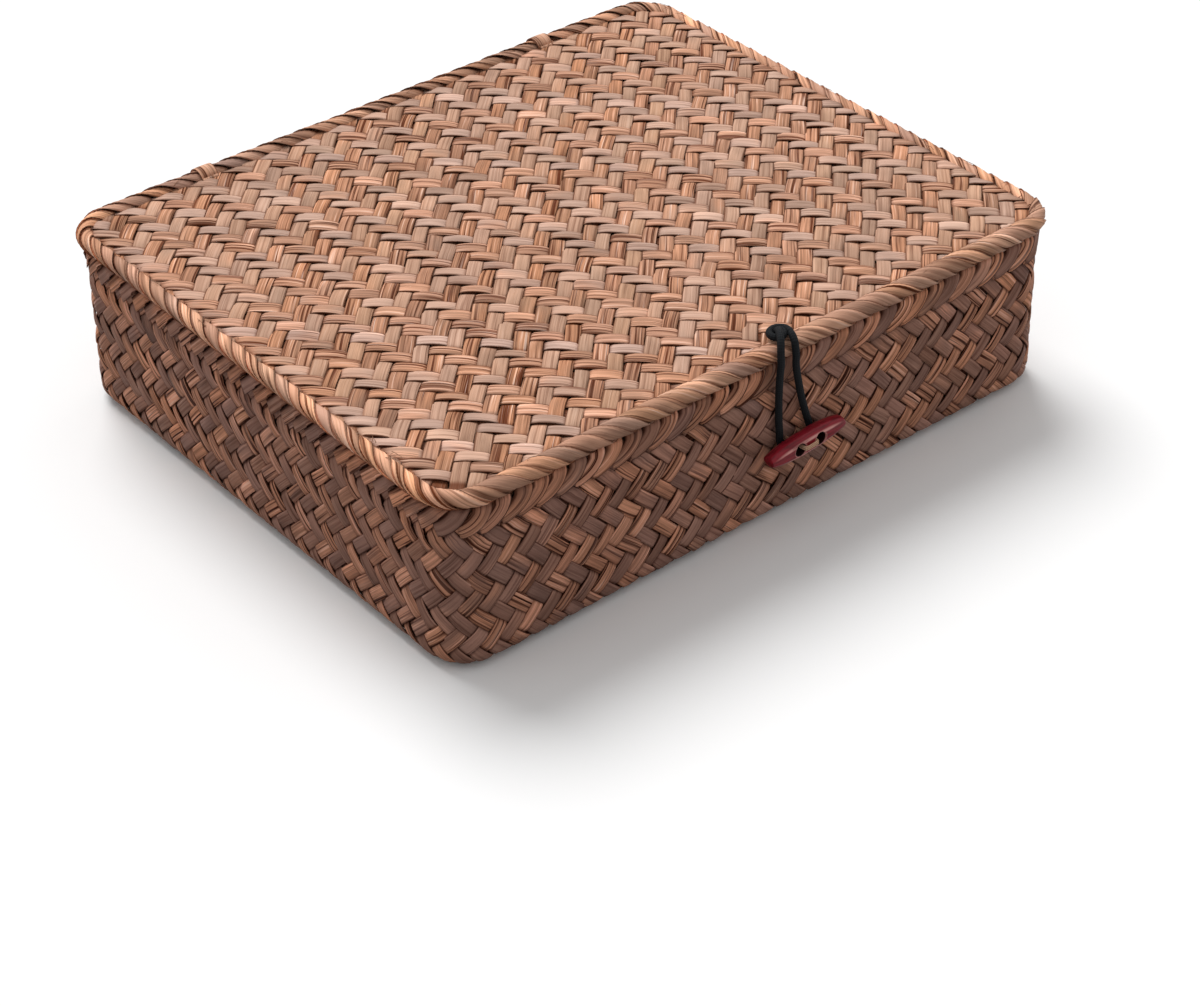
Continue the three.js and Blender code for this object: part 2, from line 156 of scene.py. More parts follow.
bpy.ops.object.light_add(type="SUN", rotation=lamp_tilt)
bpy.context.object.name = "soft_lamp"
bpy.context.object.data.energy = lamp_strength
bpy.context.object.data.angle = lamp_softness


def seen_rays(start):
    """1 for the camera's rays, for reflections and for rays through clear pieces, 0 for all others."""
    rays = start.add("ShaderNodeLightPath").socket.node.outputs
    names = ("Is Camera Ray", "Is Glossy Ray", "Is Transmission Ray")
    camera_ray, glossy_ray, clear_ray = (Wire(start.tree, rays[name]) for name in names)
    return camera_ray.math("MAXIMUM", glossy_ray).math("MAXIMUM", clear_ray)


world = bpy.data.worlds.new("studio")
world.use_nodes = True
bpy.context.scene.world = world
seen = seen_rays(Wire(world.node_tree))
backdrop = world.node_tree.nodes["Background"]
backdrop.inputs["Color"].default_value = (1, 1, 1, 1)
seen.plug(backdrop.inputs["Strength"], seen * (1 - sky_strength) + sky_strength)

bpy.ops.mesh.primitive_plane_add(size=floor_size, location=(0, 0, floor_drop))
floor = bpy.context.object
floor.name = "floor"
paper, start, shader = new_finish("floor_paper")
shader.inputs["Roughness"].default_value = paper_roughness
shader.inputs["Specular IOR Level"].default_value = paper_specular
felt, shown = ((level,) * 3 for level in (floor_felt, floor_seen))
start.plug(shader.inputs["Base Color"], seen_rays(start).blend(felt, shown))
dress(floor, paper)

# Tray, outer mat. One plait of split sedge makes the bottom, the rounded foot and the walls. Strips
# of two slants go over two and under two, and every second strip shows its ribbed, redder face.
box_half = np.array([0.150, 0.1235])
corner_radius = 0.019
wall_inset, wall_flare = 0.0028, 0.001
foot_radius = 0.007
border_foot = 0.057
lip_height, lip_rise, lip_tuck = 0.0545, 0.0025, 0.0009
wall_top = 0.0608

# Lengths along the plait are counted in lozenges, the diamonds that its crossings show. A run goes
# round the tray: from left to right along the front, then the right end, the back and the left end.
lozenges = np.array([35, 29])
side_starts = np.cumsum([0, *lozenges, *lozenges])
whole_run = side_starts[-1]
side_corners = lozenges * np.array([[0, 0], [1, 0], [1, 1], [0, 1]])
side_runs = np.array([[1, 0], [0, 1], [-1, 0], [0, -1]])
side_depths = np.roll(side_runs, -1, axis=0)
slant_step = 0.02

# A strip's section, in shares of half its width: its face from edge to edge, then its back. The map
# unrolls the skin in rows, with these shares of a row for the points of the section.
pitch = 0.00587
face_shares = np.array([-1, -0.55, 0, 0.55, 1])
back_shares = np.array([0.92, -0.92])
ring_shares = np.concatenate([face_shares, back_shares])
on_top = np.arange(len(ring_shares)) < len(face_shares)
map_shares = np.array([0, 0.18, 0.36, 0.54, 0.72, 0.78, 0.94, 1])
map_row, map_gap, map_margin_share, map_bulge = 0.0082, 0.002, 0.05, 0.8

# What differs from strip to strip: how far it strays, its width, which face it shows, its tint and
# where its pattern starts.
sway_beats, sway_starts, second_beat = (0.12, 0.5), (0, 6), 2.7
tray_stray, tray_widths, tray_width_sway = 0.09, (0.88, 1.06), 0.03
wrong_face_chance, ribbed_kind, smooth_kind, kind_spread = 0.2, 0.85, 0.12, 0.12
tone_spread, tone_range = 0.09, (0.75, 1.3)
hue_spread, blue_share, blue_spread = 0.025, 1.3, 0.015
chance_spread = 0.22
pattern_starts = (0, 90)

# How much of its height a strip keeps a third of the way into a dive, and how much of its arch it
# has at a crossing.
dive_share, arch_share = 0.66, 0.5


def smooth(x):
    """0 below 0, 1 above 1, and a soft rise between them."""
    x = np.clip(x, 0, 1)
    return x * x * (3 - 2 * x)


def unit(vectors):
    """The same directions with length 1."""
    return vectors / np.maximum(np.linalg.norm(vectors, axis=-1, keepdims=True), 1e-12)


def plan_spine(flat):
    """For points of the unfolded plan: the spine point that the rounded outline lies about, the
    direction outwards and the distance from the spine."""
    size, side = np.abs(flat), np.where(flat < 0, -1.0, 1.0)
    core = box_half - corner_radius
    beyond = np.maximum(size - core, 0)
    distance = beyond.max(-1)
    share = beyond.min(-1) / np.maximum(distance, 1e-9)
    lengthwise = (size - core)[..., 0] >= (size - core)[..., 1]
    angle = np.where(lengthwise, share, 2 - share) * math.pi / 4
    outwards = np.stack([np.cos(angle), np.sin(angle)], -1) * side
    return np.minimum(size, core) * side, outwards, distance


def fold_sizes(depth):
    """For a mat this deep inside the tray's outer face: the radius of its fold at the foot, and half
    the length and width of its bottom up to the middle of the fold."""
    fold = foot_radius - depth
    return fold, box_half - wall_inset - depth - fold * (1 - math.pi / 4)


def side_at(run):
    """The side of the tray where a run lies, and the run without its whole rounds."""
    turned = np.mod(run, whole_run)
    return np.searchsorted(side_starts, turned, side="right") - 1, turned


def tray_surface(side, run, inwards, depth):
    """Places on the mat this deep inside the tray's outer face. run goes round the tray and inwards
    goes in over the bottom from the fold of one side, or up the wall where it is below zero."""
    fold, half = fold_sizes(depth)
    lozenge = 2 * half / lozenges
    on_wall = inwards < 0
    wall_side, turned = side_at(run)
    side = np.where(on_wall, wall_side, side)
    along = (np.where(on_wall, turned, run) - side_starts[side])[..., None]
    deep = np.maximum(inwards, 0)[..., None]
    lattice = side_corners[side] + along * side_runs[side] + deep * side_depths[side]
    spine, outwards, distance = plan_spine(lattice * lozenge - half)
    reach = half[0] - (box_half - corner_radius)[0]
    climb = distance - reach + np.maximum(-inwards, 0) * lozenge.mean()
    quarter = fold * math.pi / 4
    bend = np.clip(climb / fold + math.pi / 4, 0, math.pi / 2)
    out = fold * np.sin(bend) + np.minimum(climb + quarter, 0)
    height = fold * (1 - np.cos(bend)) + np.maximum(climb - quarter, 0) + depth
    out += wall_flare * (1 - height / border_foot) * np.clip(climb / fold + 2, 0, 1)
    out -= lip_tuck * smooth((height - lip_height) / lip_rise)
    radius = corner_radius - wall_inset - depth - fold + out
    return np.concatenate([spine + outwards * radius[..., None], height[..., None]], -1)


def tray_tracks(depth):
    """Every strip of a tray mat: its family, how many crossings lie between its two folds, how many
    on each wall, its side, run and lean at both folds, and which crossings it goes over, from one
    wall's top to the other's."""
    climb = round((wall_top - depth) * lozenges[0] / (box_half[0] - wall_inset)) + 1
    length, width = (int(count) for count in lozenges)
    whole = int(whole_run)
    for family in ("rising", "falling"):
        for line in np.arange(0.5, length + width):
            if family == "rising":
                line = line - width
                first = (0, line, 1) if line > 0 else (3, whole + line, -1)
                last = (1, 2 * length - line, -1) if line > length - width else (2, 2 * length - line, 1)
                start, step = max(line, 0), 0.5
                crossings = int(2 * (min(length, width + line) - start))
            else:
                first = (0, line, -1) if line < length else (1, line, 1)
                last = (3, whole - line, 1) if line < width else (2, whole - line, -1)
                start, step = min(line, length), -0.5
                crossings = int(2 * (start - max(line - width, 0)))
            over = []
            for crossing in range(-climb - 1, crossings + climb + 2):
                if crossing <= 0 or crossing >= crossings:
                    row = -crossing if crossing <= 0 else crossing - crossings
                    forward = (first if crossing <= 0 else last)[2] < 0
                else:
                    x = start + step * crossing
                    y = x - line if family == "rising" else line - x
                    from_ends, from_front_or_back = min(x, length - x), min(y, width - y)
                    row = -round(2 * min(from_ends, from_front_or_back))
                    forward = (family == "falling") == (from_front_or_back <= from_ends)
                over.append(((row + 2) % 4 < 2) == forward)
            yield family, crossings, climb, first, last, over


def third_stations(crossings):
    """Three stations to each crossing, at thirds of the way to its neighbours."""
    return np.repeat(crossings, 3) + np.tile([-1, 0, 1], len(crossings)) / 3


def strip_heights(over, form, rng):
    """Heights and twists along a strip, three stations to a crossing, from where it goes over. A
    float of two crossings rises to an arch in its middle, and is twisted as a whole."""
    swing, arch = form["swing"], form["arch"]
    state = np.where(over, 1.0, -1.0)
    before, after = np.roll(state, 1), np.roll(state, -1)
    full, diving = swing * state + arch * (state > 0), dive_share * swing * state
    enter, leave = np.where(state == before, full, diving), np.where(state == after, full, diving)
    middle = swing * state + arch_share * arch * (state > 0)
    floats = np.cumsum(state != before)
    twist = rng.normal(0, 1, floats[-1] + 1)[floats]
    heights = np.stack([enter, middle, leave], 1)[1:-1].ravel()
    return heights, np.repeat(twist[1:-1], 3)


def wander(rng, reach):
    """How far a handmade strip strays to its side, station by station."""
    beat, first = rng.uniform(*sway_beats), rng.uniform(*sway_starts)

    def sway(stations):
        return reach * (np.sin(stations * beat + first) + np.sin(stations * beat * second_beat))

    return sway


def ribbon(places, normals, lifts):
    """The rings of a strip's skin: points of its section, lifted from the mat's middle surface. They
    are put in the order that turns its faces outwards, which comes with them."""
    rings = places + normals * lifts[..., None]
    middle = len(rings) // 2
    across = places[middle, len(face_shares) - 1] - places[middle, 0]
    forwards = places[middle + 1, 2] - places[middle, 2]
    order = np.arange(rings.shape[1])
    if np.dot(np.cross(across, forwards), normals[middle, 2]) < 0:
        order = np.roll(order[::-1], len(face_shares))
    return rings[:, order], order


def add_piece(name, mesh):
    """A new piece of the scene from a finished mesh."""
    piece = bpy.data.objects.new(name, mesh)
    bpy.context.collection.objects.link(piece)
    return piece


def strip_mesh(name, strips):
    """One mesh of many closed strips. Each strip is a dict of its rings (stations, points, 3), the
    way along it, its lay (across, along, pattern start), its mood (kind, depth for the painted shade,
    chance) and its tint. Its map unrolls all strips in rows over the unit square."""
    rings = [strip["rings"] for strip in strips]
    count = len(ring_shares)
    unrolled = sum(strip["along"][-1] + 2 * map_gap for strip in strips)
    rows = round(math.sqrt(unrolled / map_row))
    row_length = unrolled / rows
    longest = max(np.diff(strip["along"]).max() for strip in strips)
    map_length = row_length + longest
    quads, quad_map, caps, cap_map = [], [], [], []
    base, used = 0, 0.0
    for strip in strips:
        stations = len(strip["rings"])
        i, k = np.meshgrid(np.arange(stations - 1), np.arange(count), indexing="ij")
        ring, ring_after, beside = i * count, (i + 1) * count, (k + 1) % count
        corners = np.stack([ring + k, ring + beside, ring_after + beside, ring_after + k], -1)
        quads.append(corners.reshape(-1, 4) + base)
        along = strip["along"] + used + map_gap
        row = np.floor(along[:-1] / row_length)
        low = (along[:-1] - row * row_length)[:, None]
        high = low + np.diff(along)[:, None]
        rise = map_shares * (1 - map_margin_share)
        below = (row[:, None] + rise[None, :-1]) / rows
        above = (row[:, None] + rise[None, 1:]) / rows
        low, high = (x / map_length + 0 * below for x in (low, high))
        corners = np.stack([low, below, low, above, high, above, high, below], -1)
        quad_map.append(corners.reshape(-1, 2))
        bulge = map_bulge * map_gap * np.sin(np.pi * np.arange(count) / (count - 1)) / map_length
        first = np.arange(count) + base
        last = first + (stations - 1) * count
        caps += [first[::-1], last]
        cap_map.append(np.stack([low[0, 0] - bulge, (row[0] + rise[:-1]) / rows], -1)[::-1])
        cap_map.append(np.stack([high[-1, 0] + bulge, (row[-1] + rise[:-1]) / rows], -1))
        base += stations * count
        used += strip["along"][-1] + 2 * map_gap
    mesh = bpy.data.meshes.new(name)
    points = np.concatenate([ring.reshape(-1, 3) for ring in rings])
    quads = np.concatenate(quads)
    caps = np.array(caps)
    corners = np.concatenate([quads.ravel(), caps.ravel()])
    sizes = np.concatenate([np.full(len(quads), 4), np.full(len(caps), count)])
    mesh.vertices.add(len(points))
    mesh.vertices.foreach_set("co", points.astype(np.float32).ravel())
    mesh.loops.add(len(corners))
    mesh.loops.foreach_set("vertex_index", corners.astype(np.int32))
    mesh.polygons.add(len(sizes))
    mesh.polygons.foreach_set("loop_start", (np.cumsum(sizes) - sizes).astype(np.int32))
    mesh.update(calc_edges=True)
    on_face = np.arange(len(quads)) % count < len(face_shares) - 1
    mesh.polygons.foreach_set("use_smooth", np.concatenate([on_face, np.zeros(len(caps), bool)]))
    places = np.concatenate(quad_map + cap_map)
    mesh.uv_layers.new(name="OFBake").uv.foreach_set("vector", places.astype(np.float32).ravel())
    for key in ("lay", "mood", "tint"):
        values = [np.broadcast_to(strip[key], strip["rings"].shape).reshape(-1, 3) for strip in strips]
        attribute = mesh.attributes.new(key, "FLOAT_VECTOR", "POINT")
        attribute.data.foreach_set("vector", np.concatenate(values).astype(np.float32).ravel())
    return add_piece(name, mesh)


def strip_look(index, rng, warmth=0.0, level=1.0):
    """A strip's own kind, from 0 for its smooth face to 1 for its ribbed face, and its tint."""
    ribbed = (index % 2 == 0) != (rng.random() < wrong_face_chance)
    kind = np.clip((ribbed_kind if ribbed else smooth_kind) + rng.normal(0, kind_spread), 0, 1)
    tone = level * np.clip(rng.normal(1, tone_spread), *tone_range)
    hue = rng.normal(warmth, hue_spread)
    return kind, tone * np.array([1 + hue, 1, 1 - blue_share * hue + rng.normal(0, blue_spread)])


def woven_strip(place, stations, heights, twists, form, look, pattern_start, width):
    """A strip that goes over and under. place gives points and normals for stations and shares
    across the strip, and form holds the swing, crown, thickness and twist of this mat's strips."""
    kind, tint = look
    shares = ring_shares[None, :] * width[:, None]
    places, normals = place(stations, shares)
    crown = np.where(on_top, form["crown"] * (1 - ring_shares**2), -form["thickness"])
    lifts = heights[:, None] + crown + form["twist"] * twists[:, None] * ring_shares
    rings, order = ribbon(places, normals, lifts)
    middle = stations if stations.ndim == 1 else stations[:, 2]
    along = (middle - middle[0]) * pitch
    across = shares * pitch / 2
    # How far the strip lies below the mat's middle, which sets the painted shade where it dives under its
    # neighbours.
    deep = np.clip((1 - heights / form["swing"]) / 2, 0, 1)
    chance = np.clip(0.5 + chance_spread * twists, 0, 1)
    grid = np.zeros(across.shape)
    lay = np.stack([across, along[:, None] + grid, grid + pattern_start], -1)[:, order]
    mood = np.stack([grid + kind, deep[:, None] + grid, chance[:, None] + grid], -1)
    return {"rings": rings, "along": along, "lay": lay, "mood": mood, "tint": tint}


def tray_mat(name, depth, facing, form, seed):
    """Both families of a tray mat, each as one mesh. facing is 1 outwards and -1 inwards."""
    rng = np.random.default_rng(seed)
    families = {"rising": [], "falling": []}
    for index, (family, crossings, climb, first, last, over) in enumerate(tray_tracks(depth)):
        stations = third_stations(np.arange(-climb, crossings + climb + 1))
        near = stations <= crossings / 2
        side = np.where(near, first[0], last[0])[:, None]
        lean = np.where(near, first[2], last[2])[:, None]
        inwards = np.where(near, stations, crossings - stations)[:, None] / 2
        run = np.where(near, first[1], last[1])[:, None] + lean * inwards
        stray = wander(rng, tray_stray)(stations)[:, None]

        def place(_, shares):
            apart = 0.25 * (shares + stray)
            sides = side + np.zeros(shares.shape, int)
            runs, depths = run + apart, inwards - lean * apart
            middle = tray_surface(sides, runs, depths, depth)
            lengthwise = tray_surface(sides, runs + slant_step, depths, depth) - middle
            upwards = tray_surface(sides, runs, depths - slant_step, depth) - middle
            return middle, facing * unit(np.cross(lengthwise, upwards))

        heights, twists = strip_heights(over, form, rng)
        width = rng.uniform(*tray_widths) + wander(rng, tray_width_sway)(stations)
        look = strip_look(index, rng)
        pattern_start = rng.uniform(*pattern_starts)
        strip = woven_strip(place, stations, heights, twists, form, look, pattern_start, width)
        families[family].append(strip)
    return [strip_mesh(f"{name}_{family}", strips) for family, strips in families.items()]


# Patterns in a strip: repeats per metre across it and along it, a shift that keeps each pattern
# apart from the others, and its detail. A band is where a pattern rises from none to full.
rib_pattern = dict(across=760.0, along=13.0, shift=0.0, detail=2.0)
fibre_pattern = dict(across=1250.0, along=20.0, shift=7.0, detail=3.0)
blotch_pattern = dict(across=150.0, along=55.0, shift=13.0, detail=1.0)
pattern_roughness = 0.65
rib_band, fibre_band, ribbed_band = (0.34, 0.5), (0.3, 0.7), (0.2, 0.8)
# Bands of the painted sheen on fibre crests and of the painted highlight along the edges.
sheen_band, sheen_patch_band, edge_highlight_band = (0.54, 0.72), (0.3, 0.6), (0.38, 0.6)
# Bands of painted shade where a strip dives and at its very edges, and where the painted edge highlight
# begins.
dive_band, pale_edge, dark_edge = (0.15, 0.85), (0.0018, 0.0025), (0.00256, 0.00288)

# How much each pattern gives to the colour, and to the relief.
ribbed_patches = 0.9
ridge_dark, ridge_fibres = 0.66, 0.62
fibre_streaks, rib_streaks, streak_top, streak_depth = 0.65, 0.35, 1.02, 0.68
# How much painted sheen the plain and the ribbed strips get.
sheen_on_plain, sheen_on_ribs = 0.15, 0.55
blotch_dark, blotch_light, chance_dark, chance_light = 0.55, 0.7, 0.85, 0.3
# Strength of the painted edge highlight and of the painted shade at the edges, then the dullness of the
# fibres and the specular level.
edge_highlight_gain, edge_shade, dull_fibres, sedge_specular = 0.22, 0.75, 0.25, 0.05
rib_relief, rib_relief_share, fibre_relief_share, blotch_relief_share = 0.0003, 0.6, 0.6, 0.4


def noise_at(x, y, z, detail, roughness=0.5):
    """Noise at the place that these three wires give."""
    place = x.add("ShaderNodeCombineXYZ", {}, {"X": x, "Y": y, "Z": z})
    noise = {"Vector": place, "Scale": 1.0, "Detail": detail, "Roughness": roughness}
    return x.add("ShaderNodeTexNoise", {}, noise)


def sedge_finish(name, plain, ridge, sheen_colour, groove_and_shade, streak, shade, gloss):
    """Split sedge: plain strips with faint fibres and ribbed strips with dark grooves between ridges.
    Painted sheen turns fibre crests pale in patches, a painted highlight runs just inside each edge,
    and warm painted shade darkens the very edges and where a strip dives under its neighbours."""
    material, start, shader = new_finish(name)
    lay, mood, tint = (
        start.add("ShaderNodeAttribute", {"attribute_name": key}, {}, "Vector")
        for key in ("lay", "mood", "tint")
    )
    across, along, pattern_start = lay.parts()
    kind, deep, chance = mood.parts()

    def drawn(pattern):
        """A pattern's noise, drawn out along the strip."""
        x, y, z = across * pattern["across"], along * pattern["along"], pattern_start + pattern["shift"]
        return noise_at(x, y, z, pattern["detail"], pattern_roughness)

    broad, fine, blotch = drawn(rib_pattern), drawn(fibre_pattern), drawn(blotch_pattern)
    ribs, faint = broad.step(*rib_band), fine.step(*fibre_band)
    part_ribbed = (kind + (chance + blotch - 1.0) * ribbed_patches).step(*ribbed_band)
    ribbed = ribs.blend(groove_and_shade, ridge).scaled(faint * ridge_fibres + ridge_dark)
    streaks = (faint * fibre_streaks + ribs * rib_streaks) * streak + (streak_top - streak_depth * streak)
    colour = part_ribbed.blend(streaks.blend(groove_and_shade, plain), ribbed).times(tint)
    # Painted sheen: fibre crests turn pale in patches, more on ribbed strips than on plain ones.
    painted_sheen = fine.step(*sheen_band) * (part_ribbed * sheen_on_ribs + sheen_on_plain)
    colour = (painted_sheen * blotch.step(*sheen_patch_band)).blend(colour, sheen_colour)
    edge = across.math("ABSOLUTE")
    # Painted highlight: a paler band just inside each edge of the strip, broken up by the fibres.
    painted_highlight = edge.step(*pale_edge) * fine.step(*edge_highlight_band)
    uneven = (blotch * blotch_light + blotch_dark) * (chance * chance_light + chance_dark)
    colour = colour.scaled(uneven + painted_highlight * edge_highlight_gain)
    # Painted shade: the colour turns to the groove colour where the strip dives under its neighbours, and
    # in a dark line along its very edges.
    painted_shade = (deep.step(*dive_band) * shade).math("MAXIMUM", edge.step(*dark_edge) * edge_shade)
    start.plug(shader.inputs["Base Color"], painted_shade.blend(colour, groove_and_shade))
    start.plug(shader.inputs["Roughness"], gloss + dull_fibres * (1 - faint))
    fibrous = ribs * part_ribbed * rib_relief_share + faint * fibre_relief_share
    (fibrous + blotch * blotch_relief_share).emboss(shader, 1.0, rib_relief)
    shader.inputs["Specular IOR Level"].default_value = sedge_specular
    return material


dark_sedge = sedge_finish(
    "dark_sedge",
    plain=(0.43, 0.225, 0.168),
    ridge=(0.72, 0.33, 0.205),
    sheen_colour=(0.98, 0.60, 0.46),
    groove_and_shade=(0.06, 0.013, 0.005),
    streak=0.95,
    shade=0.93,
    gloss=0.45,
)
outer_depth = 0.00085
outer_form = dict(swing=0.0006, arch=0.00016, crown=0.00021, thickness=0.0004, twist=0.00019)
for mat in tray_mat("tray_mat", outer_depth, 1, outer_form, seed=11):
    dress(mat, dark_sedge)
    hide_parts("tray_weave")
    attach(mat, "tray")

# Tray, lining mat. The same plait in paler strips lies inside the outer mat and doubles it, so the
# inside shows it all over.
inner_sedge = sedge_finish(
    "inner_sedge",
    plain=(0.42, 0.255, 0.175),
    ridge=(0.58, 0.32, 0.2),
    sheen_colour=(0.66, 0.42, 0.28),
    groove_and_shade=(0.09, 0.035, 0.02),
    streak=0.45,
    shade=0.55,
    gloss=0.45,
)
lining_depth = 0.00325
lining_form = dict(swing=0.00035, arch=0.00008, crown=0.00022, thickness=0.0003, twist=0.00004)
for mat in tray_mat("tray_lining", lining_depth, -1, lining_form, seed=12):
    dress(mat, inner_sedge)
    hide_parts("tray_lining")
    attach(mat, "tray")

# Tray rim, cane hoop. A flat split cane stiffens the rim inside the border. It is bent round the
# tray's top with its shiny skin outwards, and the folded strips of the wall hold it.
cane_grain, cane_rings, cane_detail, cane_band = 60.0, 1800.0, 3.0, (0.3, 0.7)
cane_dark, cane_light = (0.13, 0.06, 0.035), (0.26, 0.14, 0.085)
cane_roughness, cane_shine, cane_relief, cane_relief_share = 0.6, 0.2, 0.0002, 0.4


def cane_finish():
    """Cane with long fibres round the box, light on dark."""
    material, start, shader = new_finish("split_cane")
    x, y, z = start.add("ShaderNodeTexCoord", {}, {}, "Object").parts()
    fibre = noise_at(x * cane_grain, y * cane_grain, z * cane_rings, cane_detail).step(*cane_band)
    start.plug(shader.inputs["Base Color"], fibre.blend(cane_dark, cane_light))
    start.plug(shader.inputs["Roughness"], cane_roughness - cane_shine * fibre)
    fibre.emboss(shader, cane_relief_share, cane_relief)
    return material


cane = cane_finish()
dress(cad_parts["tray_rim_cane"], cane)

# Tray rim, border. The wall's strips are folded over the hoop and down inside. In front and behind
# they sweep up to the rim like leaves, each lapping the next, and at the ends they slant straight.
border_inset, border_inner_inset = 0.0028, 0.0074
border_low, border_rise, border_top, border_inside_foot = 0.0600, 0.0085, 0.0683, 0.0585
border_outside, border_over, border_inside = 9, 6, 5
border_stations = border_outside + border_over + border_inside
border_sweep, border_corner_ease = (0.12, 0.8), 1.5
leaf_reach, straight_reach, straight_drop = 1.5, 0.85, 0.001
leaf_fold_reach, straight_fold_reach, inside_reach = 0.3, 0.9, 0.9
fold_fullness = 0.6
leaf_half_width, leaf_swell, leaf_point, leaf_swell_stations = 0.00295, 0.0008, 0.0006, 7
leaf_widths, leaf_start_spread, leaf_warmth = (0.95, 1.04), 0.06, 0.02
leaf_crown, leaf_thickness = 0.00012, 0.0003
leaf_tilt, leaf_fold_tilts, leaf_inside_tilt = 0.00038, (0.0003, 0.00012), 0.00018


def around(run, inset):
    """Plan points on the outline at this inset, for a run counted in lozenges, and its outward
    directions."""
    _, half = fold_sizes(outer_depth)
    side, turned = side_at(run)
    lattice = side_corners[side] + (turned - side_starts[side])[..., None] * side_runs[side]
    spine, outwards, _ = plan_spine(lattice * 2 * half / lozenges - half)
    return spine + outwards * (corner_radius - np.asarray(inset))[..., None], outwards


def front_or_back(run, ease):
    """1 along the front and the back and 0 along the ends. It changes at the corners, over this many
    lozenges on both sides."""
    side, turned = side_at(run)
    from_corner = min(turned - side_starts[side], side_starts[side + 1] - turned)
    return 0.5 + (0.5 if side % 2 == 0 else -0.5) * smooth(from_corner / ease)


def swept_strip(centres, normals, half_widths, tilt, crown, thickness, look, pattern_start, hug=0.0):
    """A strip carried along a path. tilt lifts its right edge, as seen along the path, and hug is
    one over the radius that the strip is bent to across its width."""
    kind, tint = look
    forwards = np.gradient(centres, axis=0)
    across = unit(np.cross(forwards, normals))[:, None, :]
    up = normals[:, None, :]
    shares = ring_shares[None, :]
    lifts = np.where(on_top, crown * (1 - shares**2), -thickness) + tilt[:, None] * shares
    reach = shares * half_widths[:, None]
    bend = reach * hug
    aside = (reach * np.sinc(bend / math.pi))[..., None]
    drop = (reach * np.sin(bend / 2) * np.sinc(bend / (2 * math.pi)))[..., None]
    out = up * np.cos(bend)[..., None] + across * np.sin(bend)[..., None]
    rings = centres[:, None, :] + across * aside - up * drop + out * lifts[..., None]
    steps = np.linalg.norm(np.diff(centres, axis=0), axis=1)
    along = np.concatenate([[0], np.cumsum(steps)])
    grid = np.zeros(rings.shape[:2])
    lay = np.stack([shares * pitch / 2 + grid, along[:, None] + grid, grid + pattern_start], -1)
    # The lowered edge, which lies under the neighbouring strip, is marked for painted shade.
    deep = np.clip(-np.sign(tilt)[:, None] * (shares + grid) - 0.1, 0, 1)
    mood = np.stack([grid + kind, deep, grid + pattern_start % 1], -1)
    return {"rings": rings, "along": along, "lay": lay, "mood": mood, "tint": tint}


def border_strip(index, rng):
    """A strip of the border, up the wall's outside, over the hoop and down inside. leaf is 1 where it
    sweeps up like a leaf and 0 where it is straight."""
    begin = index + rng.normal(0, leaf_start_spread)
    leaf = front_or_back(begin + leaf_reach / 2, border_corner_ease)
    straight = 1 - leaf
    share = np.linspace(*border_sweep, border_outside)
    turn = share * math.pi / 2
    up = leaf * (1 - np.cos(turn)) + straight * share
    on = leaf * np.sin(turn) + straight * straight_reach * share
    heights = border_low - straight_drop * straight + (border_rise + straight_drop * straight) * up
    runs = begin + leaf_reach * on
    fold = np.linspace(0, math.pi, border_over + 1)[1:]
    fold_reach = straight_fold_reach + (leaf_fold_reach - straight_fold_reach) * leaf
    over_runs = runs[-1] + fold_reach * fold / math.pi
    over_heights = heights[-1] + (border_top - heights[-1]) * np.sin(fold) ** fold_fullness
    over_insets = border_inset + (border_inner_inset - border_inset) / 2 * (1 - np.cos(fold))
    down = np.linspace(0, 1, border_inside + 1)[1:]
    inside_heights = heights[-1] + (border_inside_foot - heights[-1]) * down
    runs = np.concatenate([runs, over_runs, over_runs[-1] + inside_reach * down])
    heights = np.concatenate([heights, over_heights, inside_heights])
    outer, inner = np.ones(border_outside), np.ones(border_inside)
    insets = np.concatenate([border_inset * outer, over_insets, border_inner_inset * inner])
    plan, outwards = around(runs, insets)
    centres = np.concatenate([plan, heights[:, None]], 1)
    lean = np.concatenate([0 * outer, fold, math.pi * inner])[:, None]
    normals = np.concatenate([outwards * np.cos(lean), np.sin(lean)], 1)
    station = np.arange(border_stations)
    swell = leaf_swell * leaf * smooth(station / leaf_swell_stations)
    half = leaf_half_width + swell - leaf_point * leaf * (station < 1)
    half = half * rng.uniform(*leaf_widths)
    over_tilt = np.linspace(*leaf_fold_tilts, border_over)
    tilt = np.concatenate([leaf_tilt * outer, over_tilt, leaf_inside_tilt * inner])
    look = strip_look(index, rng, leaf_warmth)
    pattern_start = rng.uniform(*pattern_starts)
    return swept_strip(centres, normals, half, tilt, leaf_crown, leaf_thickness, look, pattern_start)


border_rng = np.random.default_rng(21)
border = strip_mesh("tray_border", [border_strip(index, border_rng) for index in range(whole_run)])
dress(border, dark_sedge)
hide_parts("tray_rim_border")
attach(border, "tray")

# Lid, top mat. A flat plait of paler strips, faded by light, with its floats in columns from back to
# front. Its edge is hidden in the bound rim.
lid_middle, lid_edge_inset = 0.0740, 0.0054
lid_lozenge = 2 * pitch / math.sqrt(2)
lid_stray, lid_widths, lid_width_sway = 0.1, (0.9, 1.08), 0.04
lid_end_step, lid_end_gap, lid_least_stations = 0.05, 0.25, 4
# Painted sheen: the two families differ in tone, the falling strips paler and greyer and the rising ones
# darker and warmer, as strips running one way catch more light.
lid_sheen_warmths = {"rising": 0.06, "falling": -0.02}
lid_sheen_levels = {"rising": 0.93, "falling": 1.07}


def inside_outline(x, y, inset):
    """Whether plan points lie inside the rounded outline by more than this inset."""
    beyond = np.maximum(np.abs(np.stack([x, y], -1)) - (box_half - corner_radius), 0)
    return np.linalg.norm(beyond, axis=-1) < corner_radius - inset


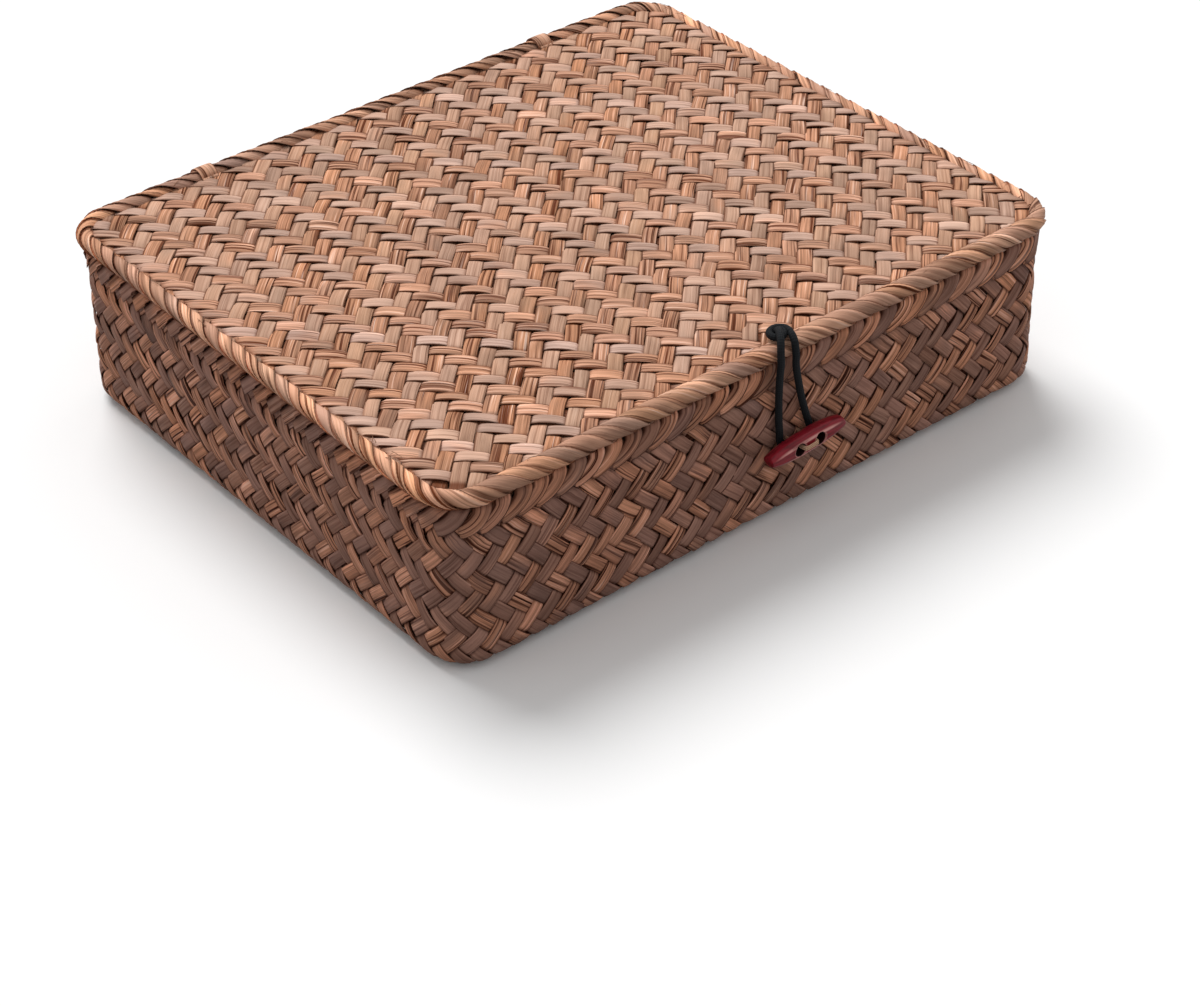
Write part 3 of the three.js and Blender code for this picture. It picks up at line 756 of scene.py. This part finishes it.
def lid_mat(name, height, facing, form, seed):
    """Both families of a flat mat, each as one mesh. facing is 1 upwards and -1 downwards."""
    rng = np.random.default_rng(seed)
    most = int(box_half.sum() / lid_lozenge) + 2
    fine = np.arange(-most, most, lid_end_step)
    crossings = np.arange(-most - 2, most + 3)
    families = {"rising": [], "falling": []}
    for family, sense in (("rising", 1), ("falling", -1)):
        for line in range(-most, most + 1):
            stray = wander(rng, lid_stray)

            def plan(stations, shares):
                other = line + 0.5 * (shares + stray(stations))
                x = (stations + other) * lid_lozenge / 2
                y = sense * (stations - other) * lid_lozenge / 2
                return x, y

            ends = []
            for share in ring_shares:
                held = fine[inside_outline(*plan(fine, share), lid_edge_inset)]
                ends.append((held[0], held[-1]) if len(held) else None)
            if None in ends:
                continue
            starts, stops = np.array(ends).T
            begin, end = starts.max() + lid_end_gap, stops.min() - lid_end_gap
            stations = np.arange(math.ceil(3 * begin), 3 * end) / 3
            if len(stations) < lid_least_stations:
                continue
            grid = np.concatenate([starts[None], stations[:, None] + 0 * starts[None], stops[None]])

            def place(stations, shares):
                x, y = plan(stations, shares)
                normals = np.zeros((*x.shape, 3))
                normals[..., 2] = facing
                return np.stack([x, y, np.full(x.shape, height)], -1), normals

            over = ((crossings + line) % 4 < 2) == (family == "rising")
            heights, twists = strip_heights(over, form, rng)
            track, middles = third_stations(crossings[1:-1]), grid.mean(1)
            heights, twists = (np.interp(middles, track, values) for values in (heights, twists))
            width = rng.uniform(*lid_widths) + wander(rng, lid_width_sway)(middles)
            # Each family's painted sheen comes in through its warmth and level.
            look = strip_look(line, rng, lid_sheen_warmths[family], lid_sheen_levels[family])
            pattern_start = rng.uniform(*pattern_starts)
            strip = woven_strip(place, grid, heights, twists, form, look, pattern_start, width)
            families[family].append(strip)
    return [strip_mesh(f"{name}_{family}", strips) for family, strips in families.items()]


pale_sedge = sedge_finish(
    "pale_sedge",
    plain=(0.70, 0.44, 0.325),
    ridge=(0.655, 0.338, 0.214),
    sheen_colour=(0.97, 0.73, 0.60),
    groove_and_shade=(0.15, 0.038, 0.012),
    streak=0.9,
    shade=0.85,
    gloss=0.4,
)
lid_form = dict(swing=0.00056, arch=0.0002, crown=0.0002, thickness=0.00035, twist=0.0002)
for mat in lid_mat("lid_mat", lid_middle, 1, lid_form, seed=31):
    dress(mat, pale_sedge)
    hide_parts("lid_weave")
    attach(mat, "lid")

# Lid, under mat. A second plait doubles the lid and shows its smooth side inside the box.
lid_lining_middle = 0.07205
for mat in lid_mat("lid_lining", lid_lining_middle, -1, lining_form, seed=32):
    dress(mat, inner_sedge)
    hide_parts("lid_lining")
    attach(mat, "lid")

# Lid rim. A round cane runs along the edges of both mats, and strips are bound round it on the slant,
# each lapping the next. In front and behind the slant is long, at the ends it is short.
dress(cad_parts["lid_rim_cane"], cane)
rim_height, rim_lozenge = 0.073, 0.0081
rim_insets, rim_radii, rim_leads = (0.0034, 0.0040), (0.0029, 0.0036), (0.028, 0.031)
rim_corner_ease, rim_middle = 2.5, 1.2
wraps, wrap_start_spread, wrap_swell_spread = 120, 0.08, 0.025
wrap_begin, wrap_top, wrap_end = (math.radians(angle) for angle in (168, 40, -190))
wrap_stations, wrap_slants = 20, (0.9, 1.1)
wrap_half_width, wrap_widths = 0.0034, (0.92, 1.08)
wrap_point_share, wrap_point_stations = 0.3, 5
wrap_crown, wrap_thickness, wrap_tilt, wrap_tilt_spread = 0.00015, 0.0003, 0.00044, 0.00012
# The last number is painted light that brightens the wraps at the ends of the box.
wrap_warmth, wrap_warmth_spread, wrap_levels, end_wrap_painted_light = 0.01, 0.03, (0.84, 1.1), 0.36


def wrap_strip(index, rng):
    """A strip once round the cane: from its inner side over the top, down outside and back under."""
    begin = index * whole_run / wraps + rng.normal(0, wrap_start_spread)
    long = front_or_back(begin + rim_middle, rim_corner_ease)
    lead, rim_inset, rim_radius = (
        pair[0] + (pair[1] - pair[0]) * long for pair in (rim_leads, rim_insets, rim_radii)
    )
    turn = np.linspace(wrap_begin, wrap_end, wrap_stations)
    radius = rim_radius * (1 + rng.normal(0, wrap_swell_spread))
    slant = (turn[0] - wrap_top) + rng.uniform(*wrap_slants) * (wrap_top - turn)
    runs = begin + lead / rim_lozenge * slant / (2 * math.pi)
    plan, outwards = around(runs, rim_inset - radius * np.cos(turn))
    heights = rim_height + radius * np.sin(turn)
    centres = np.concatenate([plan, heights[:, None]], 1)
    normals = np.concatenate([outwards * np.cos(turn)[:, None], np.sin(turn)[:, None]], 1)
    half = wrap_half_width * rng.uniform(*wrap_widths)
    grown = smooth(np.arange(wrap_stations) / wrap_point_stations)
    widths = half * (1 - wrap_point_share + wrap_point_share * grown)
    tilt = np.full(wrap_stations, -wrap_tilt - wrap_tilt_spread * rng.random())
    warmth = rng.normal(wrap_warmth, wrap_warmth_spread)
    # Painted light: wraps at the ends are made brighter than those in front and behind.
    level = rng.uniform(*wrap_levels) + end_wrap_painted_light * (1 - long)
    look = strip_look(index, rng, warmth, level)
    pattern_start = rng.uniform(*pattern_starts)
    hug = 1 / (rim_radius * (1 + (2 * math.pi * rim_radius / lead) ** 2))
    form = (tilt, wrap_crown, wrap_thickness)
    return swept_strip(centres, normals, widths, *form, look, pattern_start, hug)


# Loose fibres: fine splinters of the strips that stand off the rim and the edge of the lid.
loose_fibres, fibre_stations = 46, 7
fibre_reach, fibre_bows = (-0.9, 0.9), (0.0004, 0.0016)
fibre_insets, fibre_inset_runs = (0.002, 0.0085), (-0.002, 0.003)
fibre_top, fibre_rise, fibre_top_inset, fibre_rise_half = 0.0754, 0.001, 0.0045, 0.004
fibre_bow_end, fibre_tip = 1.6, 1.1
fibre_half_width, fibre_crown, fibre_thickness = 0.00016, 0.00003, 0.0001
fibre_look = (0.1, np.array([1.25, 1.2, 1.1]))
fibre_pattern_start = 3.0


def loose_fibre(rng):
    """A fibre along the top of the rim, which bows up and ends in a point."""
    share = np.linspace(0, 1, fibre_stations)
    runs = rng.uniform(0, whole_run) + rng.uniform(*fibre_reach) * share
    insets = rng.uniform(*fibre_insets) + rng.uniform(*fibre_inset_runs) * share
    bow = rng.uniform(*fibre_bows) * share * (fibre_bow_end - share)
    plan, _ = around(runs, insets)
    tops = fibre_top + fibre_rise * (1 - ((insets - fibre_top_inset) / fibre_rise_half) ** 2) + bow
    centres = np.concatenate([plan, tops[:, None]], 1)
    normals = np.concatenate([0 * plan, np.ones((fibre_stations, 1))], 1)
    widths = fibre_half_width * (fibre_tip - share)
    form = (0 * share, fibre_crown, fibre_thickness)
    return swept_strip(centres, normals, widths, *form, fibre_look, fibre_pattern_start)


binding_sedge = sedge_finish(
    "binding_sedge",
    plain=(0.66, 0.365, 0.248),
    ridge=(0.76, 0.41, 0.26),
    sheen_colour=(0.97, 0.73, 0.60),
    groove_and_shade=(0.13, 0.034, 0.011),
    streak=0.95,
    shade=0.85,
    gloss=0.4,
)
rim_rng = np.random.default_rng(41)
binding_strips = [wrap_strip(index, rim_rng) for index in range(wraps)]
binding_strips += [loose_fibre(rim_rng) for _ in range(loose_fibres)]
binding = strip_mesh("lid_binding", binding_strips)
dress(binding, binding_sedge)
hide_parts("lid_rim_wrap")
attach(binding, "lid")

# Hinge lashings. Two flat strips are tied in loops through the back wall and the lid, round border
# and rim. They are loose, and the lid turns on them.
lashing_half_width, lashing_crown, lashing_thickness = 0.0038, 0.0001, 0.0005
lashing_places = {"left": -0.085, "right": 0.085}
lashing_inner, lashing_outer, lashing_corner = 0.1147, 0.1221, 0.0009
lashing_low, lashing_outer_top, lashing_inner_top = 0.054, 0.0672, 0.0747
rim_centre, lashing_ring = 0.1195, 0.0048
ring_angles, ring_stations, outer_stations, inner_stations = (150, -30), 13, 9, 12
lashing_look = (0.6, np.array([1.0, 1.0, 1.0]))
lashing_seeds = {"left": 51, "right": 52}
lashing_pattern_starts = (0, 9)


def lashing_path():
    """The loop's places from front to back and in height: over the rim, down the wall's outside,
    through the wall and up inside to where it began."""
    turn = np.radians(np.linspace(*ring_angles, ring_stations))
    ring = np.stack([rim_centre + lashing_ring * np.cos(turn), rim_height + lashing_ring * np.sin(turn)], 1)
    foot = lashing_low + lashing_corner
    down = [[lashing_outer, z] for z in np.linspace(lashing_outer_top, foot, outer_stations)]
    low = [[lashing_outer - lashing_corner, lashing_low], [lashing_inner + lashing_corner, lashing_low]]
    up = [[lashing_inner, z] for z in np.linspace(foot, lashing_inner_top, inner_stations)]
    return np.concatenate([ring, down, low, up, ring[:1]])


def lashing_strip(x, seed):
    """One flat strip, carried along the loop at this place from left to right."""
    path = lashing_path()
    flat = np.zeros(len(path))
    centres = np.stack([flat + x, path[:, 0], path[:, 1]], 1)
    forwards = np.gradient(path, axis=0)
    normals = unit(np.stack([flat, -forwards[:, 1], forwards[:, 0]], 1))
    form = (flat + lashing_half_width, flat, lashing_crown, lashing_thickness)
    pattern_start = np.random.default_rng(seed).uniform(*lashing_pattern_starts)
    return swept_strip(centres, normals, *form, lashing_look, pattern_start)


for side_name, x in lashing_places.items():
    lashing = strip_mesh(f"lashing_{side_name}", [lashing_strip(x, lashing_seeds[side_name])])
    dress(lashing, binding_sedge)
    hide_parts(f"hinge_lashing_{side_name}")
    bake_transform(lashing)

# Closing loop. Round black elastic cord, braided over rubber, runs from the knot over the rim, down
# the wall, round the toggle's threads and back up.
cord_diameter, loop_length = 0.0028, 0.125
loop_steps, loop_sides = 8, 14
loop_route = np.array(
    [
        [0.0046, -0.1172, 0.0796],
        [0.0026, -0.1202, 0.0802],
        [0.0006, -0.1229, 0.0796],
        [-0.0009, -0.1247, 0.0773],
        [-0.0013, -0.1254, 0.0742],
        [-0.0012, -0.1254, 0.0708],
        [-0.0008, -0.12465, 0.0666],
        [-0.0004, -0.124, 0.06],
        [0.0002, -0.1234, 0.052],
        [0.0009, -0.12305, 0.044],
        [0.0015, -0.12295, 0.0385],
        [0.0020, -0.12295, 0.0345],
        [0.0031, -0.12295, 0.0308],
        [0.00585, -0.12295, 0.0281],
        [0.0095, -0.12295, 0.0271],
        [0.01315, -0.12295, 0.0281],
        [0.0158, -0.12295, 0.0308],
        [0.0166, -0.12295, 0.0345],
        [0.0157, -0.12295, 0.0383],
        [0.0142, -0.12305, 0.0425],
        [0.0117, -0.12335, 0.05],
        [0.0093, -0.12385, 0.0585],
        [0.0071, -0.1246, 0.0666],
        [0.0062, -0.1254, 0.0708],
        [0.0059, -0.1254, 0.0742],
        [0.0062, -0.1244, 0.0770],
        [0.0070, -0.1224, 0.0784],
        [0.0078, -0.1204, 0.0787],
    ]
)


def curve_through(points, steps):
    """A smooth curve through all points, with so many steps from each to the next."""
    ends = np.concatenate([[2 * points[0] - points[1]], points, [2 * points[-1] - points[-2]]])
    t = (np.arange(steps) / steps)[None, :, None]
    a, b, c, d = (x[:, None, :] for x in (ends[:-3], ends[1:-2], ends[2:-1], ends[3:]))
    square, cube = (2 * a - 5 * b + 4 * c - d) * t**2, (3 * (b - c) + d - a) * t**3
    places = 0.5 * (2 * b + (c - a) * t + square + cube)
    return np.concatenate([places.reshape(-1, 3), points[-1:]])


def round_cord(path, radius, sides):
    """Rings of a round cord along a path, with no twist from one ring to the next."""
    forwards = unit(np.gradient(path, axis=0))
    any_slant = [0.3, 0.5, 0.81]
    side = unit(np.cross(forwards[0], any_slant))
    rings = []
    angles = (2 * math.pi * np.arange(sides) / sides)[:, None]
    for place, forward in zip(path, forwards):
        side = unit(side - forward * np.dot(side, forward))
        other = np.cross(forward, side)
        rings.append(place + radius * (np.cos(angles) * side + np.sin(angles) * other))
    return np.array(rings)


def cord_mesh(name, runs, sides):
    """One mesh of round cords, each with capped ends. Its map goes round the cord and along it."""
    points, faces, places = [], [], []
    base = 0
    for path, radius in runs:
        rings = round_cord(path, radius, sides)
        along = np.concatenate([[0], np.cumsum(np.linalg.norm(np.diff(path, axis=0), axis=1))])
        for i in range(len(rings) - 1):
            low, high = base + i * sides, base + (i + 1) * sides
            for k in range(sides):
                beside = (k + 1) % sides
                faces.append((low + k, low + beside, high + beside, high + k))
                u, v = k / sides, (k + 1) / sides
                places += [(u, along[i]), (v, along[i]), (v, along[i + 1]), (u, along[i + 1])]
        last = base + (len(rings) - 1) * sides
        faces.append(tuple(range(base, base + sides))[::-1])
        faces.append(tuple(range(last, last + sides)))
        places += [(0, 0)] * (2 * sides)
        points.append(rings.reshape(-1, 3))
        base = last + sides
    mesh = bpy.data.meshes.new(name)
    mesh.from_pydata(np.concatenate(points).tolist(), [], faces)
    mesh.uv_layers.new(name="cord").uv.foreach_set("vector", np.array(places, np.float32).ravel())
    mesh.polygons.foreach_set("use_smooth", np.ones(len(faces), bool))
    return add_piece(name, mesh)


braid_specular, braid_relief_share = 0.15, 0.8


def braid_finish(name, dark, light, threads, pitch_along, depth, roughness):
    """Fine threads braided round a cord, from a map that goes round it and along it."""
    material, start, shader = new_finish(name)
    round_share, along, _ = start.add("ShaderNodeUVMap", {"uv_map": "cord"}).parts()
    turn = round_share * (threads * 2 * math.pi)
    climb = along * (2 * math.pi / pitch_along)
    braid = (turn + climb).math("SINE") * (turn - climb).math("SINE")
    weave = braid * 0.5 + 0.5
    start.plug(shader.inputs["Base Color"], weave.blend(dark, light))
    shader.inputs["Roughness"].default_value = roughness
    shader.inputs["Specular IOR Level"].default_value = braid_specular
    weave.emboss(shader, braid_relief_share, depth)
    return material


elastic = braid_finish(
    "black_elastic",
    dark=(0.002, 0.0025, 0.003),
    light=(0.009, 0.0105, 0.013),
    threads=6,
    pitch_along=0.0018,
    depth=0.0002,
    roughness=0.75,
)
loop_path = curve_through(loop_route, loop_steps)
loop = cord_mesh("elastic_loop", [(loop_path, cord_diameter / 2)], loop_sides)
dress(loop, elastic)
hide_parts("closure_loop")
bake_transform(loop)

# Loop's knot. One run of the cord curls over the other on the lid, both go down through it, and a
# knot under the lid holds them.
curl_middle, curl_radii = np.array([0.0044, -0.1176]), (0.0043, 0.0013)
curl_angles, curl_tightening, curl_stations = (-41, 400), 1.15, 46
curl_height, curl_dip, curl_lift = 0.0787, 0.0007, 0.0004
stop_knot = np.array([0.0042, -0.1119, 0.0692])
stop_knot_radius, stop_knot_half_height, stop_knot_cord = 0.0015, 0.0008, 0.0012
stop_knot_turns, stop_knot_steps = 2, 28
knot_stem = np.array(
    [
        [0.0048, -0.1166, 0.0790],
        [0.0044, -0.1150, 0.0765],
        [0.0043, -0.1130, 0.0730],
        stop_knot,
    ]
)
knot_stem_steps, knot_sides = 6, 12


def curl_path():
    """The curl on the lid, wound inwards."""
    share = np.linspace(0, 1, curl_stations)
    turn = np.radians(curl_angles[0] + (curl_angles[1] - curl_angles[0]) * share)
    radius = curl_radii[0] + (curl_radii[1] - curl_radii[0]) * share**curl_tightening
    x, y = curl_middle[0] + radius * np.cos(turn), curl_middle[1] + radius * np.sin(turn)
    height = curl_height - curl_dip * np.sin(math.pi * share) + curl_lift * share
    return np.stack([x, y, height], 1)


def knot_turns():
    """The cord wound round itself, as the body of the stop knot."""
    angle = np.linspace(0, 2 * math.pi * stop_knot_turns, stop_knot_steps)
    height = np.linspace(-stop_knot_half_height, stop_knot_half_height, stop_knot_steps)
    offsets = [stop_knot_radius * np.cos(angle), stop_knot_radius * np.sin(angle), height]
    return stop_knot + np.stack(offsets, 1)


knot_runs = [
    (curl_path(), cord_diameter / 2),
    (curve_through(knot_stem, knot_stem_steps), cord_diameter / 2),
    (knot_turns(), stop_knot_cord),
]
knot = cord_mesh("loop_knot_cord", knot_runs, knot_sides)
dress(knot, elastic)
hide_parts("loop_knot")
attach(knot, "lid")

# Toggle. A hardwood bar, fat in the middle and blunt at its ends, planed flat in front, drilled twice
# and finished in dark red lacquer.
toggle_middle = Vector((0.0095, -0.1282, 0.0345))
toggle_length, toggle_height, toggle_depth = 0.036, 0.009, 0.0082
toggle_front_cut, toggle_back_cut = 0.0034, 0.0033
toggle_hole_radius, toggle_hole_spacing = 0.0025, 0.0098
toggle_rim_radius, toggle_rim_depth = 0.0029, 0.0005
toggle_lean = math.radians(4.5)
toggle_sides, drill_sides, toggle_waist_share = 24, 32, 0.2
toggle_stations = [0.4, 0.6, 0.78, 0.9, 0.97, 1]
toggle_fullness = [0.95, 0.86, 0.73, 0.6, 0.5, 0.4]
toggle_end_inset, toggle_end_swell = 0.0006, 0.0002
toggle_eased, toggle_eased_from, toggle_smooth_to = 0.00025, math.radians(40), math.radians(35)
lean_about = Matrix.Translation(toggle_middle)
lean_turn = lean_about @ Matrix.Rotation(-toggle_lean, 4, "Y") @ lean_about.inverted()


def select_faces(mesh, wanted):
    """In edit mode: selects the faces for which wanted is true, and no others."""
    bpy.ops.mesh.select_all(action="DESELECT")
    bpy.ops.object.mode_set(mode="OBJECT")
    for polygon in mesh.polygons:
        polygon.select = wanted(polygon)
    bpy.ops.object.mode_set(mode="EDIT")


def toggle_bar():
    """The bar, drawn out from its waist to both ends, and planed flat in front and behind."""
    bpy.ops.object.select_all(action="DESELECT")
    bpy.ops.mesh.primitive_cylinder_add(
        vertices=toggle_sides,
        radius=0.5,
        depth=toggle_waist_share * toggle_length,
        rotation=(0, math.pi / 2, 0),
        location=toggle_middle,
    )
    bar = bpy.context.object
    bar.name = "toggle_bar"
    bpy.ops.object.transform_apply(location=False, rotation=True, scale=False)
    bar.scale = (1, toggle_depth, toggle_height)
    bpy.ops.object.transform_apply(location=True, rotation=False, scale=True)
    bpy.ops.object.mode_set(mode="EDIT")
    bpy.ops.mesh.select_mode(type="FACE")
    for way in (-1, 1):
        select_faces(bar.data, lambda face: face.normal.x * way > 0.9)
        at, full = toggle_waist_share / 2 * toggle_length, 1.0
        for share, fullness in zip(toggle_stations, toggle_fullness):
            reach = share * toggle_length / 2
            push = (way * (reach - at), 0, 0)
            bpy.ops.mesh.extrude_region_move(TRANSFORM_OT_translate={"value": push})
            thin = (1 + fullness) / (1 + full)
            bpy.ops.transform.resize(value=(1, thin, fullness / full), center_override=toggle_middle)
            at, full = reach, fullness
        bpy.ops.mesh.inset(thickness=toggle_end_inset, depth=toggle_end_swell)
    bpy.ops.object.mode_set(mode="OBJECT")
    flat_front, flat_back = toggle_middle.y - toggle_front_cut, toggle_middle.y + toggle_back_cut
    for vertex in bar.data.vertices:
        vertex.co.y = max(flat_front, min(flat_back, vertex.co.y))
    return bar


def drill_holes(bar):
    """Drills both holes through the bar, and countersinks them in front."""
    for x in (-toggle_hole_spacing / 2, toggle_hole_spacing / 2):
        bore = (toggle_hole_radius, 3 * toggle_depth, 0)
        rim = (toggle_rim_radius, 2 * toggle_rim_depth, -toggle_front_cut)
        for radius, depth, shift in (bore, rim):
            bpy.ops.object.select_all(action="DESELECT")
            bpy.ops.mesh.primitive_cylinder_add(
                vertices=drill_sides,
                radius=radius,
                depth=depth,
                rotation=(math.pi / 2, 0, 0),
                location=toggle_middle + Vector((x, shift, 0)),
            )
            drill = bpy.context.object
            cut = bar.modifiers.new("drill", "BOOLEAN")
            cut.object = drill
            cut.operation = "DIFFERENCE"
            cut.solver = "EXACT"
            bpy.context.view_layer.objects.active = bar
            bpy.ops.object.modifier_apply(modifier="drill")
            bpy.data.objects.remove(drill)


lacquer_dark, lacquer_light = (0.15, 0.006, 0.012), (0.33, 0.014, 0.028)
# A pale colour for the painted highlights, and near black for the painted shade inside the holes.
lacquer_highlight, bore_shade = (0.92, 0.45, 0.40), (0.018, 0.004, 0.004)
grain_along, grain_across, grain_detail, grain_band = 90.0, 900.0, 4.0, (0.3, 0.7)
grain_relief, grain_relief_share = 0.0001, 0.25
# Where the painted highlights lie, along the ridge of the planed front and round each hole's lip and broken
# into patches, and where the painted shade in each bore begins.
ridge_height, ridge_taper, ridge_edge = 0.0027, 1.25, (0.0001, 0.0009)
lip_start, lip_end = toggle_hole_radius + 0.0004, toggle_hole_radius + 0.0008
bore_start, bore_end = toggle_hole_radius + 0.0001, toggle_hole_radius + 0.0003
highlight_breaks, ridge_highlight, lip_highlight = (0.3, 0.5), 0.85, 0.5
lacquer_roughness, lacquer_dull, lacquer_specular = 0.22, 0.2, 0.15
coat_weight, coat_roughness = 0.15, 0.1


def lacquer_finish():
    """Dark red lacquer over faint grain, clear on top, with a painted highlight along the planed
    front's edges and round the holes, and painted shade inside the holes."""
    material, start, shader = new_finish("red_lacquer")
    leaned = {"Vector": start.add("ShaderNodeTexCoord", {}, {}, "Object")}
    leaned["Location"], leaned["Rotation"] = toggle_middle, (0, -toggle_lean, 0)
    x, y, z = start.add("ShaderNodeMapping", {"vector_type": "TEXTURE"}, leaned).parts()
    fibre = noise_at(x * grain_along, y * grain_across, z * grain_across, grain_detail)
    colour = fibre.step(*grain_band).blend(lacquer_dark, lacquer_light)
    beside = x.math("ABSOLUTE")
    # Painted highlight: a pale band along the ridge where the flat front meets the curved faces, broken up
    # by the grain, and a pale ring round each hole's lip.
    taper = 1.0 - (beside * (ridge_taper / toggle_length)).math("POWER", 2.0)
    from_ridge = (z.math("ABSOLUTE") - taper * ridge_height).math("ABSOLUTE")
    on_ridge, in_front = 1.0 - from_ridge.step(*ridge_edge), 1.0 - (y + toggle_front_cut).step(*ridge_edge)
    painted_highlight = on_ridge * in_front * fibre.step(*highlight_breaks)
    from_hole = beside - toggle_hole_spacing / 2
    from_bore = (from_hole * from_hole + z * z).math("SQRT")
    lip = 1.0 - from_bore.step(lip_start, lip_end)
    colour = (painted_highlight * ridge_highlight).math("MAXIMUM", lip * lip_highlight).blend(colour, lacquer_highlight)
    # Painted shade: the inside of each hole is made near black.
    in_bore = 1.0 - from_bore.step(bore_start, bore_end)
    start.plug(shader.inputs["Base Color"], in_bore.blend(colour, bore_shade))
    start.plug(shader.inputs["Roughness"], fibre * lacquer_dull + lacquer_roughness)
    shader.inputs["Specular IOR Level"].default_value = lacquer_specular
    shader.inputs["Coat Weight"].default_value = coat_weight
    shader.inputs["Coat Roughness"].default_value = coat_roughness
    fibre.emboss(shader, grain_relief_share, grain_relief)
    return material


toggle = toggle_bar()
drill_holes(toggle)
toggle.data.transform(lean_turn)
bevel = toggle.modifiers.new("eased", "BEVEL")
bevel.width = toggle_eased
bevel.segments = 2
bevel.angle_limit = toggle_eased_from
bpy.ops.object.select_all(action="DESELECT")
toggle.select_set(True)
bpy.context.view_layer.objects.active = toggle
bpy.ops.object.modifier_apply(modifier="eased")
bpy.ops.object.shade_smooth_by_angle(angle=toggle_smooth_to)
dress(toggle, lacquer_finish())
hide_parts("toggle_button")
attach(toggle, "toggle")

# Toggle's thread. Beige cotton, doubled, out through one hole of the toggle, across its front, back
# through the other and tied inside the box.
thread_radius, thread_corner = 0.00048, 0.0009
thread_front, thread_rear, thread_bow = -0.1321, -0.1162, 0.0001
thread_apart, thread_sag = 0.00046, 0.0012
thread_spread = toggle_hole_spacing - 2 * toggle_hole_radius + 2.6 * thread_radius
thread_steps, thread_sides = 5, 10
tie_stand_off, tie_half_length, tie_radii = 0.0004, 0.0008, (0.0007, 0.0011)
tie_turns, tie_stations = 2, 29


def thread_path(height):
    """One of the two threads, at this height in front, as a closed stitch."""
    left, right = (toggle_middle[0] + side * thread_spread / 2 for side in (-1, 1))
    low = height - thread_sag
    points = [
        [toggle_middle[0], thread_rear, low],
        [left + thread_corner, thread_rear, low],
        [left, thread_rear - thread_corner, low],
        [left, (thread_front + thread_rear) / 2, (height + low) / 2],
        [left, thread_front + thread_corner, height],
        [left + thread_corner, thread_front, height],
        [toggle_middle[0], thread_front - thread_bow, height],
        [right - thread_corner, thread_front, height],
        [right, thread_front + thread_corner, height],
        [right, (thread_front + thread_rear) / 2, (height + low) / 2],
        [right, thread_rear - thread_corner, low],
        [right - thread_corner, thread_rear, low],
        [toggle_middle[0], thread_rear, low],
    ]
    return curve_through(np.array(points), thread_steps)


def tie_winding():
    """The threads' knot inside the box: a short winding round their run."""
    middle = np.array([toggle_middle[0], thread_rear + tie_stand_off, toggle_middle[2] - thread_sag])
    angle = np.linspace(0, 2 * math.pi * tie_turns, tie_stations)
    along = np.linspace(-tie_half_length, tie_half_length, tie_stations)
    return middle + np.stack([along, tie_radii[0] * np.cos(angle), tie_radii[1] * np.sin(angle)], 1)


cotton = braid_finish(
    "beige_cotton",
    dark=(0.40, 0.21, 0.12),
    light=(0.86, 0.56, 0.39),
    threads=2,
    pitch_along=0.0012,
    depth=0.00015,
    roughness=0.85,
)
thread_runs = [(thread_path(toggle_middle[2] + side * thread_apart), thread_radius) for side in (-1, 1)]
thread_runs.append((tie_winding(), thread_radius))
thread = cord_mesh("toggle_stitches", thread_runs, thread_sides)
thread.data.transform(lean_turn)
dress(thread, cotton)
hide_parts("toggle_thread")
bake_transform(thread)
